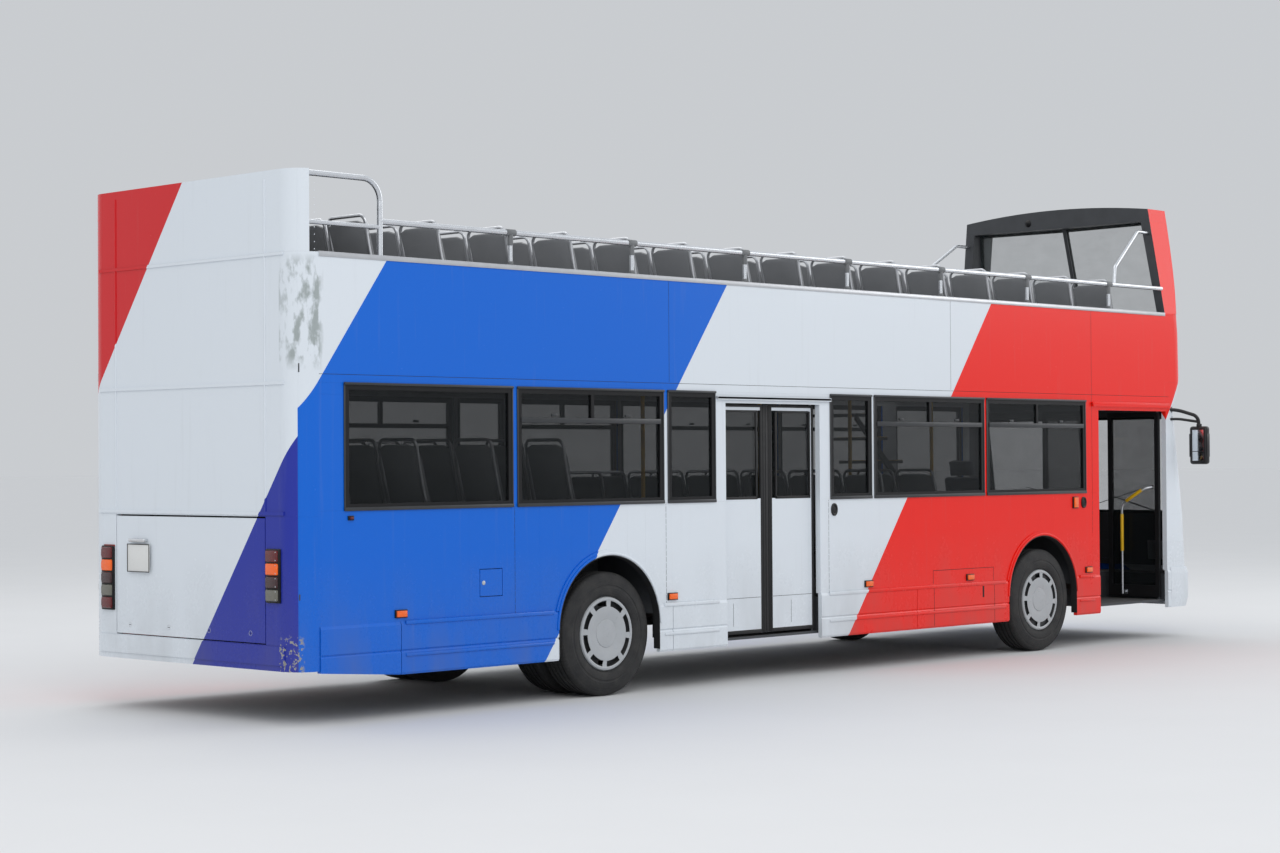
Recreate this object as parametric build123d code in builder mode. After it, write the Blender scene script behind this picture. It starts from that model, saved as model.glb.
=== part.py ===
"""Open top double decker bus, with an open upper deck and double doors on its right side.

Millimetres. +X is forward, +Y is the bus's left, +Z is up. The origin is on the ground, in the
middle of the overall length and width. A station is a distance forward of the rear face.
"""

from build123d import *
from math import asin, copysign, cos, radians, sin
import os

# Overall sizes
LENGTH = 11480          # rear beads to the front of the bumper
WIDTH = 2500            # over the flat side faces
SKIRT_STEP = 10         # how far skirts and arch lips stand proud of the side face
WALL = 50               # side and rear walls, inner lining included

# Heights above the ground
SKIRT_BOTTOM = 304
REAR_BOTTOM = 372       # the tail is cut up for its departure angle
LEDGE = 675             # top of the skirts
WINDOW_BOTTOM = 1463
WINDOW_TOP = 2341
DECK_LINE = 2400        # joint between lower wall and upper panel
SIDE_TOP = 3233         # coping of the open deck
REAR_TOP = 3800
HOOP_SHOULDER = 4280    # sides of the front hoop's roof
HOOP_TOP = 4350         # its crown
PANEL_JOINT = 0.4       # between panels of one wall, which are screwed edge to edge
FLOOR_TOP = 640
FLOOR_PLATE = 40
PLATFORM_TOP = 900      # raised floor over engine and rear axle
DECK_TOP = 2470
DECK_PLATE = 60

# Wheels and axles
REAR_AXLE = 3000        # station
WHEELBASE = 5750
TYRE_R = 475
TYRE_W = 275
TWIN_GAP = 50
RIM_R = 286
TYRE_FACE_Y = 1225      # outer sidewall of the outer tyres
ARCH_R = 545
ARCH_Z = 530
ARCH_LIP = 45
KINGPIN_Y = 900
KINGPIN_R = 22
STUB_R = 45
RUNNING = 0.05          # radial clearance of pins and bearings

# Rear corner, nose and front
REAR_CORNER_R = 190
BEAD = 8                # half round beads on the rear face
REAR_POST = 125         # depth of the rear wall's corner posts above the side panels
NOSE_CORNER_R = 200
FRONT_BOW_R = 10000     # plan radius of the front faces
FRONT_JOINT = 10965     # station where side walls meet the front
NOSE_FRONT = 11350
FRONT_WALL = 45

# Doors
LEAF_T = 36
LEAF_GAP = 8            # leaf to jamb, and to sill
LEAF_MEET = 7           # between the two leaves
LEAF_RECESS = 64        # side face to the outside of a closed leaf
HINGE_IN = 18           # leaf edge to hinge axis
PIN_R = 12
PIN_DEEP = 30

# Window glass
FRAME = 45
FRAME_T = 30
GLASS_T = 6
HOPPER_Z = 2085         # bottom of the sash bar
SASH = 30

# Name, first station, last station, has a hopper strip
RIGHT_WINDOWS = [
    ("w1", 407, 1997, False),
    ("w2", 2040, 3611, True),
    ("w3", 3655, 4213, False),
    ("w4", 5651, 6208, False),
    ("w5", 6243, 7842, True),
    ("w6", 7879, 9478, True),
]
LEFT_WINDOWS = RIGHT_WINDOWS[:3] + [("door_side", 4260, 5604, True)] + RIGHT_WINDOWS[3:]

# Name, first station, last station, sill height, head height
MID_DOOR = ("mid", 4339, 5516, 374, 2254)
FRONT_DOOR = ("front", 9704, 10905, 397, 2254)
CAB_WINDOW = (9704, 10850, 1250, WINDOW_TOP)
WELL_IN = 700           # how far a step well reaches in from the wall
WELL_SIDE = 40          # well wider than the door on each side
WELL_T = 20

# Engine hatch in the rear wall
HATCH_HALF = 893
HATCH_LOW = 548
HATCH_HIGH = 1426
HATCH_T = 30
HATCH_GAP = 8

# Fuel flap in the right side wall
FLAP = (1661, 1889, 813, 1017)      # opening: first and last station, low and high
FLAP_T = 10
FLAP_GAP = 6
FLAP_AXIS = 18          # hinge axis behind the opening's front edge
FLAP_PIN_R = 3
FLAP_POCKET = 30

# Handrails
RAIL_R = 21
POST_R = 16
RAIL_Z = 3478
RAIL_Y = 1222
POSTS = [2010, 3294, 4614, 5931, 7248, 8575, 9936]
LOOP_X = 762            # front leg of the rear loops
LOOP_Z = 3772

SIDE_Y = WIDTH / 2
SKIRT_Y = SIDE_Y + SKIRT_STEP
FRONT_AXLE = REAR_AXLE + WHEELBASE
WALL_IN_Y = SIDE_Y - WALL
LEAF_OUT_Y = SIDE_Y - LEAF_RECESS
HINGE_Y = LEAF_OUT_Y - LEAF_T / 2

RIGHT, LEFT = -1, 1
SIDES = (("right", RIGHT), ("left", LEFT))


def st(station):
    """X of a distance forward of the rear face."""
    return station - LENGTH / 2


def block(xs, ys, zs, mode=Mode.ADD):
    """A box between two X, two Y and two Z values, given in any order."""
    sizes = [abs(b - a) for a, b in (xs, ys, zs)]
    with Locations([tuple((a + b) / 2 for a, b in (xs, ys, zs))]):
        Box(*sizes, mode=mode)


def tube(start, end, radius, mode=Mode.ADD):
    """A round bar from one point to another."""
    line = Edge.make_line(start, end)
    with BuildSketch(Plane(origin=start, z_dir=line % 0)) as end_face:
        Circle(radius)
    extrude(end_face.sketch, amount=line.length, mode=mode)


def bent_tube(points, bend, radius):
    """A round bar along straight runs joined by bends of one radius."""
    with BuildLine() as path:
        FilletPolyline(*points, radius=bend)
    with BuildSketch(Plane(origin=path.line @ 0, z_dir=path.line % 0)) as end_face:
        Circle(radius)
    sweep(end_face.sketch, path=path.line)


def seams(xs=(), ys=(), zs=()):
    """Part what is built so far into panels that meet a hair apart at these planes."""
    far, hair = (-2 * LENGTH, 2 * LENGTH), PANEL_JOINT / 2
    for x in xs:
        block((x - hair, x + hair), far, far, Mode.SUBTRACT)
    for y in ys:
        block(far, (y - hair, y + hair), far, Mode.SUBTRACT)
    for z in zs:
        block(far, far, (z - hair, z + hair), Mode.SUBTRACT)


def side_plane(s, y):
    """Plane of a side face, seen with X to the right and Z up; extrude by s * depth goes inwards."""
    return Plane.XZ.offset(-s * y)


def finish(part, name):
    part.part.label = name
    export_step(part.part, f"parts/{name}.step")


os.makedirs("parts", exist_ok=True)


# Side walls of the lower deck


def wheel_cut(s, y, station, depth):
    """Cut a wheel arch, round above its centre and straight sided below."""
    with BuildSketch(side_plane(s, y)) as arch:
        with Locations((st(station), ARCH_Z)):
            Circle(ARCH_R)
        with Locations((st(station), ARCH_Z / 2)):
            Rectangle(2 * ARCH_R, ARCH_Z)
    extrude(arch.sketch, amount=s * depth, mode=Mode.SUBTRACT)


def arch_lip(s, station):
    """The raised lip round a wheel arch, down to the ledge."""
    with BuildSketch(side_plane(s, SKIRT_Y)) as lip:
        with Locations((st(station), ARCH_Z)):
            Circle(ARCH_R + ARCH_LIP)
        with Locations((st(station), LEDGE - ARCH_R)):
            Rectangle(4 * ARCH_R, 2 * ARCH_R, mode=Mode.SUBTRACT)
    extrude(lip.sketch, amount=s * (SKIRT_STEP + WALL / 2))


def side_wall(s, windows, doors, plain_openings):
    with BuildPart() as wall:
        block((st(REAR_CORNER_R), st(FRONT_JOINT)), (s * SIDE_Y, s * WALL_IN_Y), (LEDGE, DECK_LINE))
        for station in (REAR_AXLE, FRONT_AXLE):
            arch_lip(s, station)
        for _, first, last, sill, head in doors:
            gutter_ys = (s * (SIDE_Y + 22), s * (SIDE_Y - WALL / 2))
            block((st(first - 114), st(last + 134 if last < 9000 else FRONT_JOINT)), gutter_ys, (head + 34, head + 54))
            block((st(first), st(last)), (s * SKIRT_Y * 1.1, s * WALL_IN_Y * 0.9), (sill, head), Mode.SUBTRACT)
        for _, first, last, _ in windows:
            block(
                (st(first), st(last)), (s * SKIRT_Y, s * (WALL_IN_Y - 1)), (WINDOW_BOTTOM, WINDOW_TOP), Mode.SUBTRACT
            )
        for first, last, low, high in plain_openings:
            block((st(first), st(last)), (s * SKIRT_Y, s * (WALL_IN_Y - 1)), (low, high), Mode.SUBTRACT)
        for station in (REAR_AXLE, FRONT_AXLE):
            wheel_cut(s, SKIRT_Y + 1, station, SKIRT_STEP + WALL + 2)
    return wall


right_side_wall = side_wall(RIGHT, RIGHT_WINDOWS, [MID_DOOR, FRONT_DOOR], [])
left_side_wall = side_wall(LEFT, LEFT_WINDOWS, [], [CAB_WINDOW])
# Stations of the joints between the side's lower panels
SIDE_JOINTS = [2013, 2266, 3698, 6823, 8080, 9580]
SIDE_JOINTS += [axle + d for axle in (REAR_AXLE, FRONT_AXLE) for d in (-400, -200, 0, 200, 400)]
with left_side_wall:
    seams([st(s) for s in (*SIDE_JOINTS, CAB_WINDOW[0], CAB_WINDOW[1])], (), (WINDOW_BOTTOM, WINDOW_TOP))
finish(left_side_wall, "left_side_wall")


def hinge_stations(door):
    """Stations of the two hinge axes of a double door."""
    _, first, last, _, _ = door
    return (first + LEAF_GAP + HINGE_IN, last - LEAF_GAP - HINGE_IN)


# Door gear housings over each door, and the pocket and pins of the fuel flap
GEAR_D = 130
FLAP_X = st(FLAP[1] - FLAP_AXIS)
FLAP_Y = -(SIDE_Y - FLAP_T / 2)

with right_side_wall:
    for door in (MID_DOOR, FRONT_DOOR):
        _, first, last, _, head = door
        block((st(first), st(last)), (-WALL_IN_Y - 1, -WALL_IN_Y + GEAR_D), (head + LEAF_GAP, DECK_LINE))
        for station in hinge_stations(door):
            tube((st(station), -HINGE_Y, head + 20), (st(station), -HINGE_Y, head - LEAF_GAP - PIN_DEEP), PIN_R)
    block((st(FLAP[0]), st(FLAP[1])), (-SIDE_Y - 1, -SIDE_Y + FLAP_POCKET), FLAP[2:], Mode.SUBTRACT)
    for z, up in ((FLAP[2], 1), (FLAP[3], -1)):
        tube((FLAP_X, FLAP_Y, z - 2 * up), (FLAP_X, FLAP_Y, z + 16 * up), FLAP_PIN_R)
    edges = (MID_DOOR[1], MID_DOOR[2], FRONT_DOOR[1], FRONT_DOOR[2])
    heads = (MID_DOOR[4] + LEAF_GAP, WINDOW_BOTTOM, WINDOW_TOP)
    seams([st(s) for s in (*SIDE_JOINTS, *edges, 1560)], (-WALL_IN_Y,), heads)
finish(right_side_wall, "right_side_wall")

with BuildPart() as fuel_flap:
    block(
        (st(FLAP[0] + FLAP_GAP), st(FLAP[1] - FLAP_GAP)),
        (-SIDE_Y, -SIDE_Y + FLAP_T),
        (FLAP[2] + FLAP_GAP, FLAP[3] - FLAP_GAP),
    )
    for z, up in ((FLAP[2], 1), (FLAP[3], -1)):
        tube(
            (FLAP_X, FLAP_Y, z + FLAP_GAP * up - up),
            (FLAP_X, FLAP_Y, z + 22 * up),
            FLAP_PIN_R + RUNNING,
            Mode.SUBTRACT,
        )
finish(fuel_flap, "fuel_flap")


# Skirts: pressed panels below the ledge, with one groove along their middle

SKIRT_T = 40
SKIRT_SEAM = 6
GROOVE_Z = 470
GROOVE_H = 24
GROOVE_D = 8
FOOT = 8
SHOULDER = 22
TAIL_END = 910          # station where the tail's rise begins
# First station, last station
RIGHT_SKIRTS = [
    (REAR_CORNER_R, TAIL_END),
    (TAIL_END, REAR_AXLE - ARCH_R),
    (REAR_AXLE + ARCH_R, 3698),
    (3698, MID_DOOR[1]),
    (MID_DOOR[2], 6823),
    (6823, FRONT_AXLE - ARCH_R),
    (FRONT_AXLE + ARCH_R, FRONT_DOOR[1]),
    (FRONT_DOOR[2], FRONT_JOINT),
]
LEFT_SKIRTS = RIGHT_SKIRTS[:3] + [(3698, 5260), (5260, 6823), (6823, FRONT_AXLE - ARCH_R)] + [
    (FRONT_AXLE + ARCH_R, FRONT_JOINT)
]


def skirt(s, first, last, top=LEDGE):
    """One pressed panel: sloped shoulder, shallow V groove and turned-in foot."""
    y_out, y_in = s * SKIRT_Y, s * (SKIRT_Y - SKIRT_T)
    y_face = s * (SIDE_Y + 1)
    with BuildSketch(Plane.YZ.offset(st(first + SKIRT_SEAM / 2))) as profile:
        with BuildLine():
            Polyline(
                (y_in, SKIRT_BOTTOM),
                (y_out - s * FOOT, SKIRT_BOTTOM),
                (y_out, SKIRT_BOTTOM + 2 * FOOT),
                (y_out, GROOVE_Z - GROOVE_H / 2),
                (y_out - s * GROOVE_D, GROOVE_Z),
                (y_out, GROOVE_Z + GROOVE_H / 2),
                (y_out, top - SHOULDER),
                (y_face, top),
                (y_in, top),
                close=True,
            )
        make_face()
    extrude(profile.sketch, amount=last - first - SKIRT_SEAM)


with BuildPart() as skirts:
    for s, table in ((RIGHT, RIGHT_SKIRTS), (LEFT, LEFT_SKIRTS)):
        for first, last in table:
            skirt(s, first, last)
        rise = Plane.XZ.offset(-s * SKIRT_Y * 1.01)
        with BuildSketch(rise):
            with BuildLine():
                Polyline(
                    (st(0), REAR_BOTTOM),
                    (st(TAIL_END), SKIRT_BOTTOM),
                    (st(TAIL_END), 0),
                    (st(0), 0),
                    close=True,
                )
            make_face()
        extrude(amount=s * SKIRT_T * 2, mode=Mode.SUBTRACT)
finish(skirts, "skirt_panels")


# Upper deck's side panels

COPING = 4              # the coping angle stands this proud of the side
with BuildPart() as upper_panels:
    for _, s in SIDES:
        xs = (st(REAR_CORNER_R), st(FRONT_JOINT - 60))
        block(xs, (s * SIDE_Y, s * WALL_IN_Y), (DECK_LINE, SIDE_TOP))
        block(xs, (s * (SIDE_Y + COPING), s * SIDE_Y), (SIDE_TOP - 28, SIDE_TOP))
finish(upper_panels, "upper_side_panels")


# Rear wall with round corners, beads and the engine hatch's opening


def rear_plan():
    """The U shaped plan of the rear wall's outside."""
    x0, x1, y, r = st(BEAD), st(REAR_CORNER_R), SIDE_Y, REAR_CORNER_R - BEAD
    k = r * (1 - cos(radians(45)))
    with BuildLine() as outline:
        ThreePointArc((x1, -y), (x0 + k, -y + k), (x0, -y + r))
        Line((x0, -y + r), (x0, y - r))
        ThreePointArc((x0, y - r), (x0 + k, y - k), (x1, y))
        Line((x1, y), (x1, -y))
    return make_face(outline.edges(), mode=Mode.PRIVATE)


BEAD_Y = 893            # vertical beads
BEAD_HEIGHTS = [SIDE_TOP - 9, WINDOW_TOP, HATCH_HIGH + 22]

with BuildPart() as rear_wall:
    with BuildSketch(Plane.XY.offset(REAR_BOTTOM)):
        add(rear_plan())
    extrude(amount=REAR_TOP - REAR_BOTTOM)
    with BuildSketch(Plane.XY.offset(REAR_BOTTOM - 1)):
        with BuildLine():
            Polyline(
                (st(BEAD + WALL), -WALL_IN_Y + 120),
                (st(BEAD + WALL + 120), -WALL_IN_Y),
                (st(REAR_CORNER_R + 10), -WALL_IN_Y),
                (st(REAR_CORNER_R + 10), WALL_IN_Y),
                (st(BEAD + WALL + 120), WALL_IN_Y),
                (st(BEAD + WALL), WALL_IN_Y - 120),
                close=True,
            )
        make_face()
    extrude(amount=REAR_TOP - REAR_BOTTOM + 2, mode=Mode.SUBTRACT)
    block((st(-1), st(BEAD + WALL + 1)), (-HATCH_HALF, HATCH_HALF), (HATCH_LOW, HATCH_HIGH), Mode.SUBTRACT)
    block(
        (st(REAR_POST), st(REAR_CORNER_R + 1)), (-SIDE_Y - 1, SIDE_Y + 1), (SIDE_TOP, REAR_TOP + 1), Mode.SUBTRACT
    )
    for s in (RIGHT, LEFT):
        tube(
            (st(BEAD), s * BEAD_Y, HATCH_HIGH + 22),
            (st(BEAD), s * BEAD_Y, REAR_TOP - 60),
            BEAD,
        )
    block(
        (st(0), st(BEAD + WALL / 2)),
        (-SIDE_Y + REAR_CORNER_R - 40, SIDE_Y - REAR_CORNER_R + 40),
        (REAR_BOTTOM + 40, HATCH_LOW - 6),
    )
    for z in BEAD_HEIGHTS:
        block(
            (st(0), st(BEAD + WALL / 2)),
            (-SIDE_Y + REAR_CORNER_R - 40, SIDE_Y - REAR_CORNER_R + 40),
            (z - 12, z + 12),
        )
    for _, s in SIDES:
        tube(
            (st(BEAD + HATCH_T / 2), s * (HATCH_HALF + 5), HATCH_HIGH - 27),
            (st(BEAD + HATCH_T / 2), s * (HATCH_HALF - PIN_DEEP), HATCH_HIGH - 27),
            8,
        )
    corner = SIDE_Y - REAR_CORNER_R
    bend = corner + REAR_CORNER_R * sin(radians(45))
    ys = [sign * y for y in (HATCH_HALF, corner, bend) for sign in (-1, 1)]
    seams((), ys, (HATCH_LOW, HATCH_HIGH, SIDE_TOP))
finish(rear_wall, "rear_wall")

with BuildPart() as engine_hatch:
    block(
        (st(BEAD), st(BEAD + HATCH_T)),
        (-HATCH_HALF + HATCH_GAP, HATCH_HALF - HATCH_GAP),
        (HATCH_LOW + HATCH_GAP, HATCH_HIGH - 12),
    )
    for _, s in SIDES:
        tube(
            (st(BEAD + HATCH_T / 2), s * HATCH_HALF, HATCH_HIGH - 27),
            (st(BEAD + HATCH_T / 2), s * (HATCH_HALF - PIN_DEEP - 6), HATCH_HIGH - 27),
            8 + RUNNING,
            Mode.SUBTRACT,
        )
finish(engine_hatch, "engine_hatch")


# Front: nose, mask, bumper, hoop and both windscreens


def front_section(z, front, half, corner, back):
    """Plan of the front at one height: flat sides, round corners and a bowed face."""
    beta = asin((half - corner) / (FRONT_BOW_R - corner))
    cx = front - FRONT_BOW_R + (FRONT_BOW_R - corner) * cos(beta)
    cy = half - corner
    mid = (radians(-90) - beta) / 2
    end = (cx + corner * cos(beta), -cy - corner * sin(beta))
    via = (cx + corner * cos(mid), -cy + corner * sin(mid))
    with BuildSketch(Plane.XY.offset(z)) as section:
        with BuildLine():
            Line((back, -half), (cx, -half))
            ThreePointArc((cx, -half), via, end)
            ThreePointArc(end, (front, 0), (end[0], -end[1]))
            ThreePointArc((end[0], -end[1]), (via[0], -via[1]), (cx, half))
            Line((cx, half), (back, half))
            Line((back, half), (back, -half))
        make_face()
    return section.sketch.face()


def front_body(rows, inset=0.0, back_more=0.0, mode=Mode.ADD):
    """Loft plan sections. Each row is height, front station, half width, corner radius, back station."""
    faces = [
        front_section(z, st(front - inset), half - inset, max(corner - inset, 20), st(back) - back_more)
        for z, front, half, corner, back in rows
    ]
    loft(faces, ruled=True, mode=mode)


UPPER_BACK = FRONT_JOINT - 60
NOSE_ROWS = [
    (2284, 11235, SIDE_Y, NOSE_CORNER_R, FRONT_JOINT),
    (2545, NOSE_FRONT, SIDE_Y, NOSE_CORNER_R, FRONT_JOINT),
    (3040, NOSE_FRONT - 12, SIDE_Y, NOSE_CORNER_R, FRONT_JOINT),
    (SIDE_TOP, NOSE_FRONT - 35, SIDE_Y, NOSE_CORNER_R, FRONT_JOINT),
]
MASK_ROWS = [
    (700, 11430, SIDE_Y, NOSE_CORNER_R, FRONT_JOINT),
    (1180, 11400, SIDE_Y, NOSE_CORNER_R, FRONT_JOINT),
    (2284, 11235, SIDE_Y, NOSE_CORNER_R, FRONT_JOINT),
]
BUMPER_ROWS = [
    (SKIRT_BOTTOM, 11440, SKIRT_Y - 5, NOSE_CORNER_R, FRONT_JOINT),
    (400, LENGTH, SKIRT_Y, NOSE_CORNER_R, FRONT_JOINT),
    (640, LENGTH, SKIRT_Y, NOSE_CORNER_R, FRONT_JOINT),
    (700, 11450, SKIRT_Y - 5, NOSE_CORNER_R, FRONT_JOINT),
]
HOOP_LEAN = 80          # rear edge of the hoop, from foot to crown
HOOP_ROWS = [
    (SIDE_TOP, NOSE_FRONT - 35, SIDE_Y + 5, NOSE_CORNER_R, UPPER_BACK),
    (HOOP_TOP + 20, NOSE_FRONT - 150, SIDE_Y + 5, NOSE_CORNER_R, UPPER_BACK - HOOP_LEAN),
]
TOW_Y, TOW_Z, TOW_R = -620, 520, 16
SHELF = 20
SHELF_BACK = 11060


def clipped(rows, low, high):
    """Rows that keep the same surface but stand a little past both ends, for cutting."""
    (z0, f0, *rest0), (z1, f1, *_) = rows[0], rows[1]
    (za, fa, *_), (zb, fb, *rest1) = rows[-2], rows[-1]
    first = (z0 - low, f0 - (f1 - f0) * low / (z1 - z0), *rest0)
    last = (zb + high, fb + (fb - fa) * high / (zb - za), *rest1)
    return [first] + list(rows[1:-1]) + [last]


CORNER_Y = SIDE_Y - NOSE_CORNER_R
BEND_Y = CORNER_Y + NOSE_CORNER_R * sin(radians(45))
FRONT_JOINTS = (-BEND_Y, -CORNER_Y, CORNER_Y, BEND_Y)
with BuildPart() as nose_panel:
    front_body(NOSE_ROWS)
    front_body(clipped(NOSE_ROWS, 2, 2), inset=FRONT_WALL, back_more=10, mode=Mode.SUBTRACT)
    with BuildPart(mode=Mode.PRIVATE) as shelf_shape:
        front_body(clipped(NOSE_ROWS[2:], 0, 0), inset=FRONT_WALL / 2)
    shelf_box = Pos(st(SHELF_BACK + 500), 0, SIDE_TOP - SHELF / 2) * Box(1000, WIDTH, SHELF, mode=Mode.PRIVATE)
    add(shelf_shape.part & shelf_box)
    for _, s in SIDES:
        block((st(UPPER_BACK), st(FRONT_JOINT)), (s * SIDE_Y, s * WALL_IN_Y), (DECK_LINE, SIDE_TOP))
    seams((st(FRONT_JOINT),), FRONT_JOINTS, (NOSE_ROWS[1][0], SIDE_TOP - SHELF))
finish(nose_panel, "nose_panel")

SCREEN_LOW, SCREEN_HIGH, SCREEN_HALF = 1230, 2210, 1130
LAMP_LOW, LAMP_HIGH, LAMP_IN, LAMP_OUT = 760, 950, 760, 1060

with BuildPart() as front_mask:
    front_body(MASK_ROWS)
    front_body(clipped(MASK_ROWS, 2, 2), inset=FRONT_WALL, back_more=10, mode=Mode.SUBTRACT)
    block((st(11100), st(11500)), (-SCREEN_HALF, SCREEN_HALF), (SCREEN_LOW, SCREEN_HIGH), Mode.SUBTRACT)
    for _, s in SIDES:
        block((st(11200), st(11500)), (s * LAMP_IN, s * LAMP_OUT), (LAMP_LOW, LAMP_HIGH), Mode.SUBTRACT)
    seams((), (*FRONT_JOINTS, -LAMP_IN, LAMP_IN), (LAMP_LOW, LAMP_HIGH, SCREEN_LOW, SCREEN_HIGH))
finish(front_mask, "front_mask")

with BuildPart() as bumper:
    front_body(BUMPER_ROWS)
    front_body(clipped(BUMPER_ROWS, 2, 2), inset=FRONT_WALL, back_more=10, mode=Mode.SUBTRACT)
    with Locations((st(LENGTH - 70), TOW_Y, TOW_Z)):
        Box(60, 80, 80)
    tube((st(LENGTH + 10), TOW_Y, TOW_Z), (st(LENGTH - 95), TOW_Y, TOW_Z), TOW_R, Mode.SUBTRACT)
    seams((), (*FRONT_JOINTS, TOW_Y - 60, TOW_Y + 60))
finish(bumper, "bumper")

SCREEN_INSET = 12
SCREEN_T = 8

with BuildPart() as lamps:
    front_body(MASK_ROWS, inset=4)
    front_body(clipped(MASK_ROWS, 2, 2), inset=60, back_more=10, mode=Mode.SUBTRACT)
    lamp_boxes = [
        Pos(st(11350), s * (LAMP_IN + LAMP_OUT) / 2, (LAMP_LOW + LAMP_HIGH) / 2)
        * Box(300, LAMP_OUT - LAMP_IN, LAMP_HIGH - LAMP_LOW, mode=Mode.PRIVATE)
        for _, s in SIDES
    ]
    add(lamp_boxes, mode=Mode.INTERSECT)
    for s, low in ((RIGHT, 843), (LEFT, 727)):
        block((st(0), st(BEAD)), (s * 912, s * 1040), (low, 1201))
finish(lamps, "lamps")

# Front hoop round the upper windscreen, its sides leaning in
HOOP_T = 90
HOOP_FOOT_IN = SIDE_Y - HOOP_T
HOOP_HEAD_HALF = 1110   # half width at the shoulder
HOOP_HEAD_Z = 4160      # underside of the header
HOOP_R = 140
BAR = 40

with BuildPart() as upper_hoop:
    with BuildSketch(Plane.YZ.offset(st(UPPER_BACK - HOOP_LEAN - 20))) as ring:
        with BuildLine():
            Polyline(
                (-HOOP_HEAD_HALF, HOOP_SHOULDER),
                (-SIDE_Y, SIDE_TOP),
                (-HOOP_FOOT_IN, SIDE_TOP),
                (-HOOP_HEAD_HALF + HOOP_T, HOOP_HEAD_Z),
                (HOOP_HEAD_HALF - HOOP_T, HOOP_HEAD_Z),
                (HOOP_FOOT_IN, SIDE_TOP),
                (SIDE_Y, SIDE_TOP),
                (HOOP_HEAD_HALF, HOOP_SHOULDER),
            )
            ThreePointArc(
                (HOOP_HEAD_HALF, HOOP_SHOULDER), (0, HOOP_TOP), (-HOOP_HEAD_HALF, HOOP_SHOULDER)
            )
        make_face()
        shoulders = [v for v in ring.vertices() if abs(v.Z - HOOP_SHOULDER) < 1]
        fillet(shoulders, HOOP_R)
    extrude(amount=800)
    front_body(HOOP_ROWS, mode=Mode.INTERSECT)
    with BuildSketch(Plane.XY.offset(SIDE_TOP)) as bar_foot:
        with Locations((st(11290), 0)):
            Rectangle(BAR, BAR)
    with BuildSketch(Plane.XY.offset(HOOP_HEAD_Z + 10)) as bar_head:
        with Locations((st(11015), 0)):
            Rectangle(BAR, BAR)
    loft([bar_foot.sketch.face(), bar_head.sketch.face()], ruled=True)
    seams((), (), (HOOP_HEAD_Z,))
finish(upper_hoop, "upper_hoop")


def screen_strip(z, mid, edge, half):
    """Plan of one pane: from the divider out to the pillar."""
    with BuildSketch(Plane.XY.offset(z)) as strip:
        with BuildLine():
            Polyline(
                (mid, BAR / 2), (edge, half), (edge - SCREEN_T, half), (mid - SCREEN_T, BAR / 2), close=True
            )
        make_face()
    return strip.sketch.face()


with BuildPart() as windscreens:
    front_body(MASK_ROWS, inset=SCREEN_INSET)
    front_body(clipped(MASK_ROWS, 2, 2), inset=SCREEN_INSET + SCREEN_T, back_more=10, mode=Mode.SUBTRACT)
    keep = Pos(st(11300), 0, (SCREEN_LOW + SCREEN_HIGH) / 2) * Box(
        400, 2 * SCREEN_HALF, SCREEN_HIGH - SCREEN_LOW, mode=Mode.PRIVATE
    )
    add(keep, mode=Mode.INTERSECT)
    foot_half = HOOP_FOOT_IN - 2
    head_half = HOOP_HEAD_HALF - HOOP_T - 2
    loft(
        [
            screen_strip(SIDE_TOP, st(11290), st(11190), foot_half),
            screen_strip(HOOP_HEAD_Z, st(11019), st(10950), head_half),
        ],
        ruled=True,
    )
    mirror(about=Plane.XZ)
    seams((), (0,))
finish(windscreens, "windscreens")


# Side windows: black frames with sash bars, and their panes


def window_parts(s, first, last, low, high, hopper):
    """Frame and panes of one side window, set in from the side face."""
    mid = (first + last) / 2
    ys = (s * (SIDE_Y + 4), s * (SIDE_Y - FRAME_T))
    glass_ys = (s * (SIDE_Y - 10), s * (SIDE_Y - 10 - GLASS_T))
    x0, x1, z0, z1 = first + FRAME, last - FRAME, low + FRAME, high - FRAME
    panes = [(x0, x1, z0, z1)]
    if hopper:
        top = HOPPER_Z + SASH
        panes = [
            (x0, x1, z0, HOPPER_Z),
            (x0, mid - SASH / 2, top, z1),
            (mid + SASH / 2, x1, top, z1),
        ]
    with BuildPart() as frame:
        block((st(first), st(last)), ys, (low, high))
        for a, b, c, d in panes:
            block((st(a), st(b)), (ys[0] + s, ys[1] - s), (c, d), Mode.SUBTRACT)
    with BuildPart() as glass:
        for a, b, c, d in panes:
            block((st(a), st(b)), glass_ys, (c, d))
    return frame.part, glass.part


frames, panes = [], []
for s, table in ((RIGHT, RIGHT_WINDOWS), (LEFT, LEFT_WINDOWS)):
    for _, first, last, hopper in table:
        frame, glass = window_parts(s, first, last, WINDOW_BOTTOM, WINDOW_TOP, hopper)
        frames.append(frame)
        panes.append(glass)
frame, glass = window_parts(LEFT, *CAB_WINDOW, False)
frames.append(frame)
panes.append(glass)

with BuildPart() as window_frames:
    add(frames)
finish(window_frames, "window_frames")
with BuildPart() as side_windows:
    add(panes)
finish(side_windows, "side_windows")


# Floors: the lower one with platform, wheel boxes and step wells


def row_at(rows, z):
    """A front section at any height between two rows."""
    below, above = next((a, b) for a, b in zip(rows, rows[1:]) if a[0] <= z <= b[0])
    share = (z - below[0]) / (above[0] - below[0])
    return tuple(a + (b - a) * share for a, b in zip(below, above))


def wheel_box(s, station, half, inner_y, top):
    """A box over a wheel, open below and to the outside."""
    t = WELL_T
    x0, x1 = st(station) - half, st(station) + half
    block((x0 - t, x1 + t), (s * (inner_y - t), s * WALL_IN_Y), (FLOOR_TOP - FLOOR_PLATE, top + t))
    block((x0, x1), (s * inner_y, s * (WALL_IN_Y + 1)), (FLOOR_TOP - FLOOR_PLATE - 1, top), Mode.SUBTRACT)


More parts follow.
